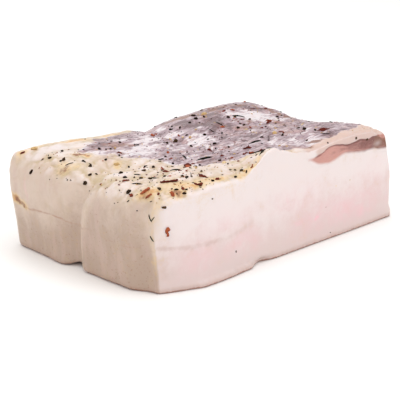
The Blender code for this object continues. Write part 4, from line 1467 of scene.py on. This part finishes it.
def scatter(nodes, given):
    """Scatters fine bits over a surface, as thickly as its rub mask says."""
    seed = given["Seed"]
    thickness = nodes.times(named(nodes, "rub", "FLOAT"), given["Most"])
    spread = {"Mesh": given["Geometry"], "Density": thickness, "Seed": seed}
    points = nodes.add("GeometryNodeDistributePointsOnFaces", spread).outputs
    tilts = {"Min": (-0.5, -0.5, 0.0), "Max": (0.5, 0.5, math.tau), "Seed": seed}
    tilted = nodes.out("FunctionNodeRandomValue", tilts, data_type="FLOAT_VECTOR")
    length = random_between(nodes, given["Shortest"], given["Longest"], seed)
    uneven = random_between(nodes, 0.6, 1.3, nodes.plus(seed, 7.0))
    breadth = nodes.times(nodes.times(length, given["Breadth"]), uneven)
    size = {"X": length, "Y": breadth, "Z": nodes.times(length, given["Height"])}
    turn = {"Rotation": points["Rotation"], "Rotate By": tilted}
    laid = {
        "Points": points["Points"],
        "Instance": nodes.out("GeometryNodeMeshIcoSphere", {"Radius": 0.5, "Subdivisions": 1}, "Mesh"),
        "Rotation": nodes.out("FunctionNodeRotateRotation", turn, rotation_space="LOCAL"),
        "Scale": nodes.out("ShaderNodeCombineXYZ", size),
    }
    laid = nodes.out("GeometryNodeInstanceOnPoints", laid)
    shade = nodes.out("FunctionNodeRandomValue", {"Seed": nodes.plus(seed, 3.0)}, 1, data_type="FLOAT")
    kept = {"Geometry": laid, "Name": "shade", "Value": shade}
    kept = nodes.out("GeometryNodeStoreNamedAttribute", kept, domain="INSTANCE")
    return painted(nodes, nodes.out("GeometryNodeRealizeInstances", {"Geometry": kept}), given)


def random_between(nodes, low, high, seed):
    """A random number for each point, more often small than large."""
    share = nodes.out("FunctionNodeRandomValue", {"Seed": seed}, 1, data_type="FLOAT")
    return nodes.scaled(nodes.times(share, share), nodes.less(high, low), low)


FLOOR_HALF = 3.0
FLOOR_DROP = 0.0001  # how far the floor lies below the slab, so that the two never flicker
AIM = (-0.021233, -0.013288, 0.0275)  # where the camera looks, in the slab's own plan
# Softboxes: name, where it hangs, width, power
SOFTBOXES = (
    ("key", (0.35, -1.05, 0.95), 0.8, 5.0),
    ("overhead", (0.00, 0.10, 1.30), 1.3, 7.0),
    ("back", (0.55, 1.10, 0.70), 0.9, 2.0),
    ("side", (-0.95, -0.15, 0.95), 0.9, 3.0),
)


class LARDO_OT_add_stage(bpy.types.Operator):
    """Add the pale floor, the soft studio light and the camera"""

    bl_idname = "lardo.add_stage"
    bl_label = "Add Stage"

    def execute(self, context):
        scene = context.scene
        stage = scene.lardo.stage
        half, low = FLOOR_HALF, -FLOOR_DROP
        sheet = [(-half, -half, low), (half, -half, low), (half, half, low), (-half, half, low)]
        floor = add_object("floor", new_mesh("floor", sheet, [(0, 1, 2, 3)]))
        material, nodes, shader = new_material("pale floor")
        dapple = nodes.noise(nodes.places(), 6.0, 2.0)
        white = tuple(stage.floor)
        nodes.put(shader.inputs["Base Color"], nodes.mix(dapple, white, tuple(0.985 * c for c in white)))
        shader.inputs["Roughness"].default_value = 0.85
        floor.data.materials.append(material)
        floor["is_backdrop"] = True
        aim = Vector(AIM) + Vector((*PLAN_SHIFT, 0))
        away = Vector((math.sin(stage.azimuth), -math.cos(stage.azimuth), 0)) * math.cos(stage.elevation)
        away.z = math.sin(stage.elevation)
        camera = add_object("camera", bpy.data.cameras.new("camera"))
        camera.location = aim + away * stage.distance
        camera.rotation_euler = away.to_track_quat("Z", "Y").to_euler()
        camera.data.lens = stage.lens
        camera.data.sensor_width = 36
        camera.data.clip_start = 0.02
        scene.camera = camera
        for name, place, width, power in SOFTBOXES:
            light = bpy.data.lights.new(name, "AREA")
            light.size = width
            light.energy = power
            lamp = add_object(name, light)
            lamp.location = place
            lamp.rotation_euler = Vector(place).to_track_quat("Z", "Y").to_euler()
        world = bpy.data.worlds.new("studio")
        world.use_nodes = True
        sky = world.node_tree.nodes["Background"].inputs
        sky["Color"].default_value = (1, 0.99, 0.98, 1)
        sky["Strength"].default_value = 0.70
        scene.world = world
        scene.view_settings.view_transform = "Standard"
        return {"FINISHED"}


class LARDO_PT_panel(bpy.types.Panel):
    """The slab's sizes, colours and operators"""

    bl_idname = "LARDO_PT_panel"
    bl_label = "Lardo"
    bl_space_type = "VIEW_3D"
    bl_region_type = "UI"
    bl_category = "Lardo"

    def draw(self, context):
        settings = context.scene.lardo
        for part in ("fat", "lean", "rub", "stage"):
            box = self.layout.box()
            box.label(text=part.title())
            group = getattr(settings, part)
            for name in group.__annotations__:
                box.prop(group, name)
        for operator in OPERATORS:
            self.layout.operator(operator.bl_idname)


OPERATORS = (
    LARDO_OT_add_stage,
    LARDO_OT_add_fat,
    LARDO_OT_add_lean,
    LARDO_OT_add_rub,
    LARDO_OT_add_fine_rub,
)
CLASSES = (
    LardoFatSettings,
    LardoLeanSettings,
    LardoRubSettings,
    LardoStageSettings,
    LardoSettings,
    *OPERATORS,
    LARDO_PT_panel,
)


def register():
    for cls in CLASSES:
        bpy.utils.register_class(cls)
    bpy.types.Scene.lardo = bpy.props.PointerProperty(
        type=LardoSettings, name="Lardo", description="The slab's sizes and colours"
    )


def unregister():
    del bpy.types.Scene.lardo
    for cls in reversed(CLASSES):
        bpy.utils.unregister_class(cls)


def corners(box):
    return [[round(float(value), 6) for value in corner] for corner in box]


def main():
    register()
    bpy.ops.lardo.add_stage()
    bpy.ops.lardo.add_fat()
    bpy.ops.lardo.add_lean()
    bpy.ops.lardo.add_rub()
    bpy.ops.lardo.add_fine_rub()
    {"cad": corners(CAD_BOX), "visual": corners(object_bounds())}


if __name__ == "__main__":
    main()
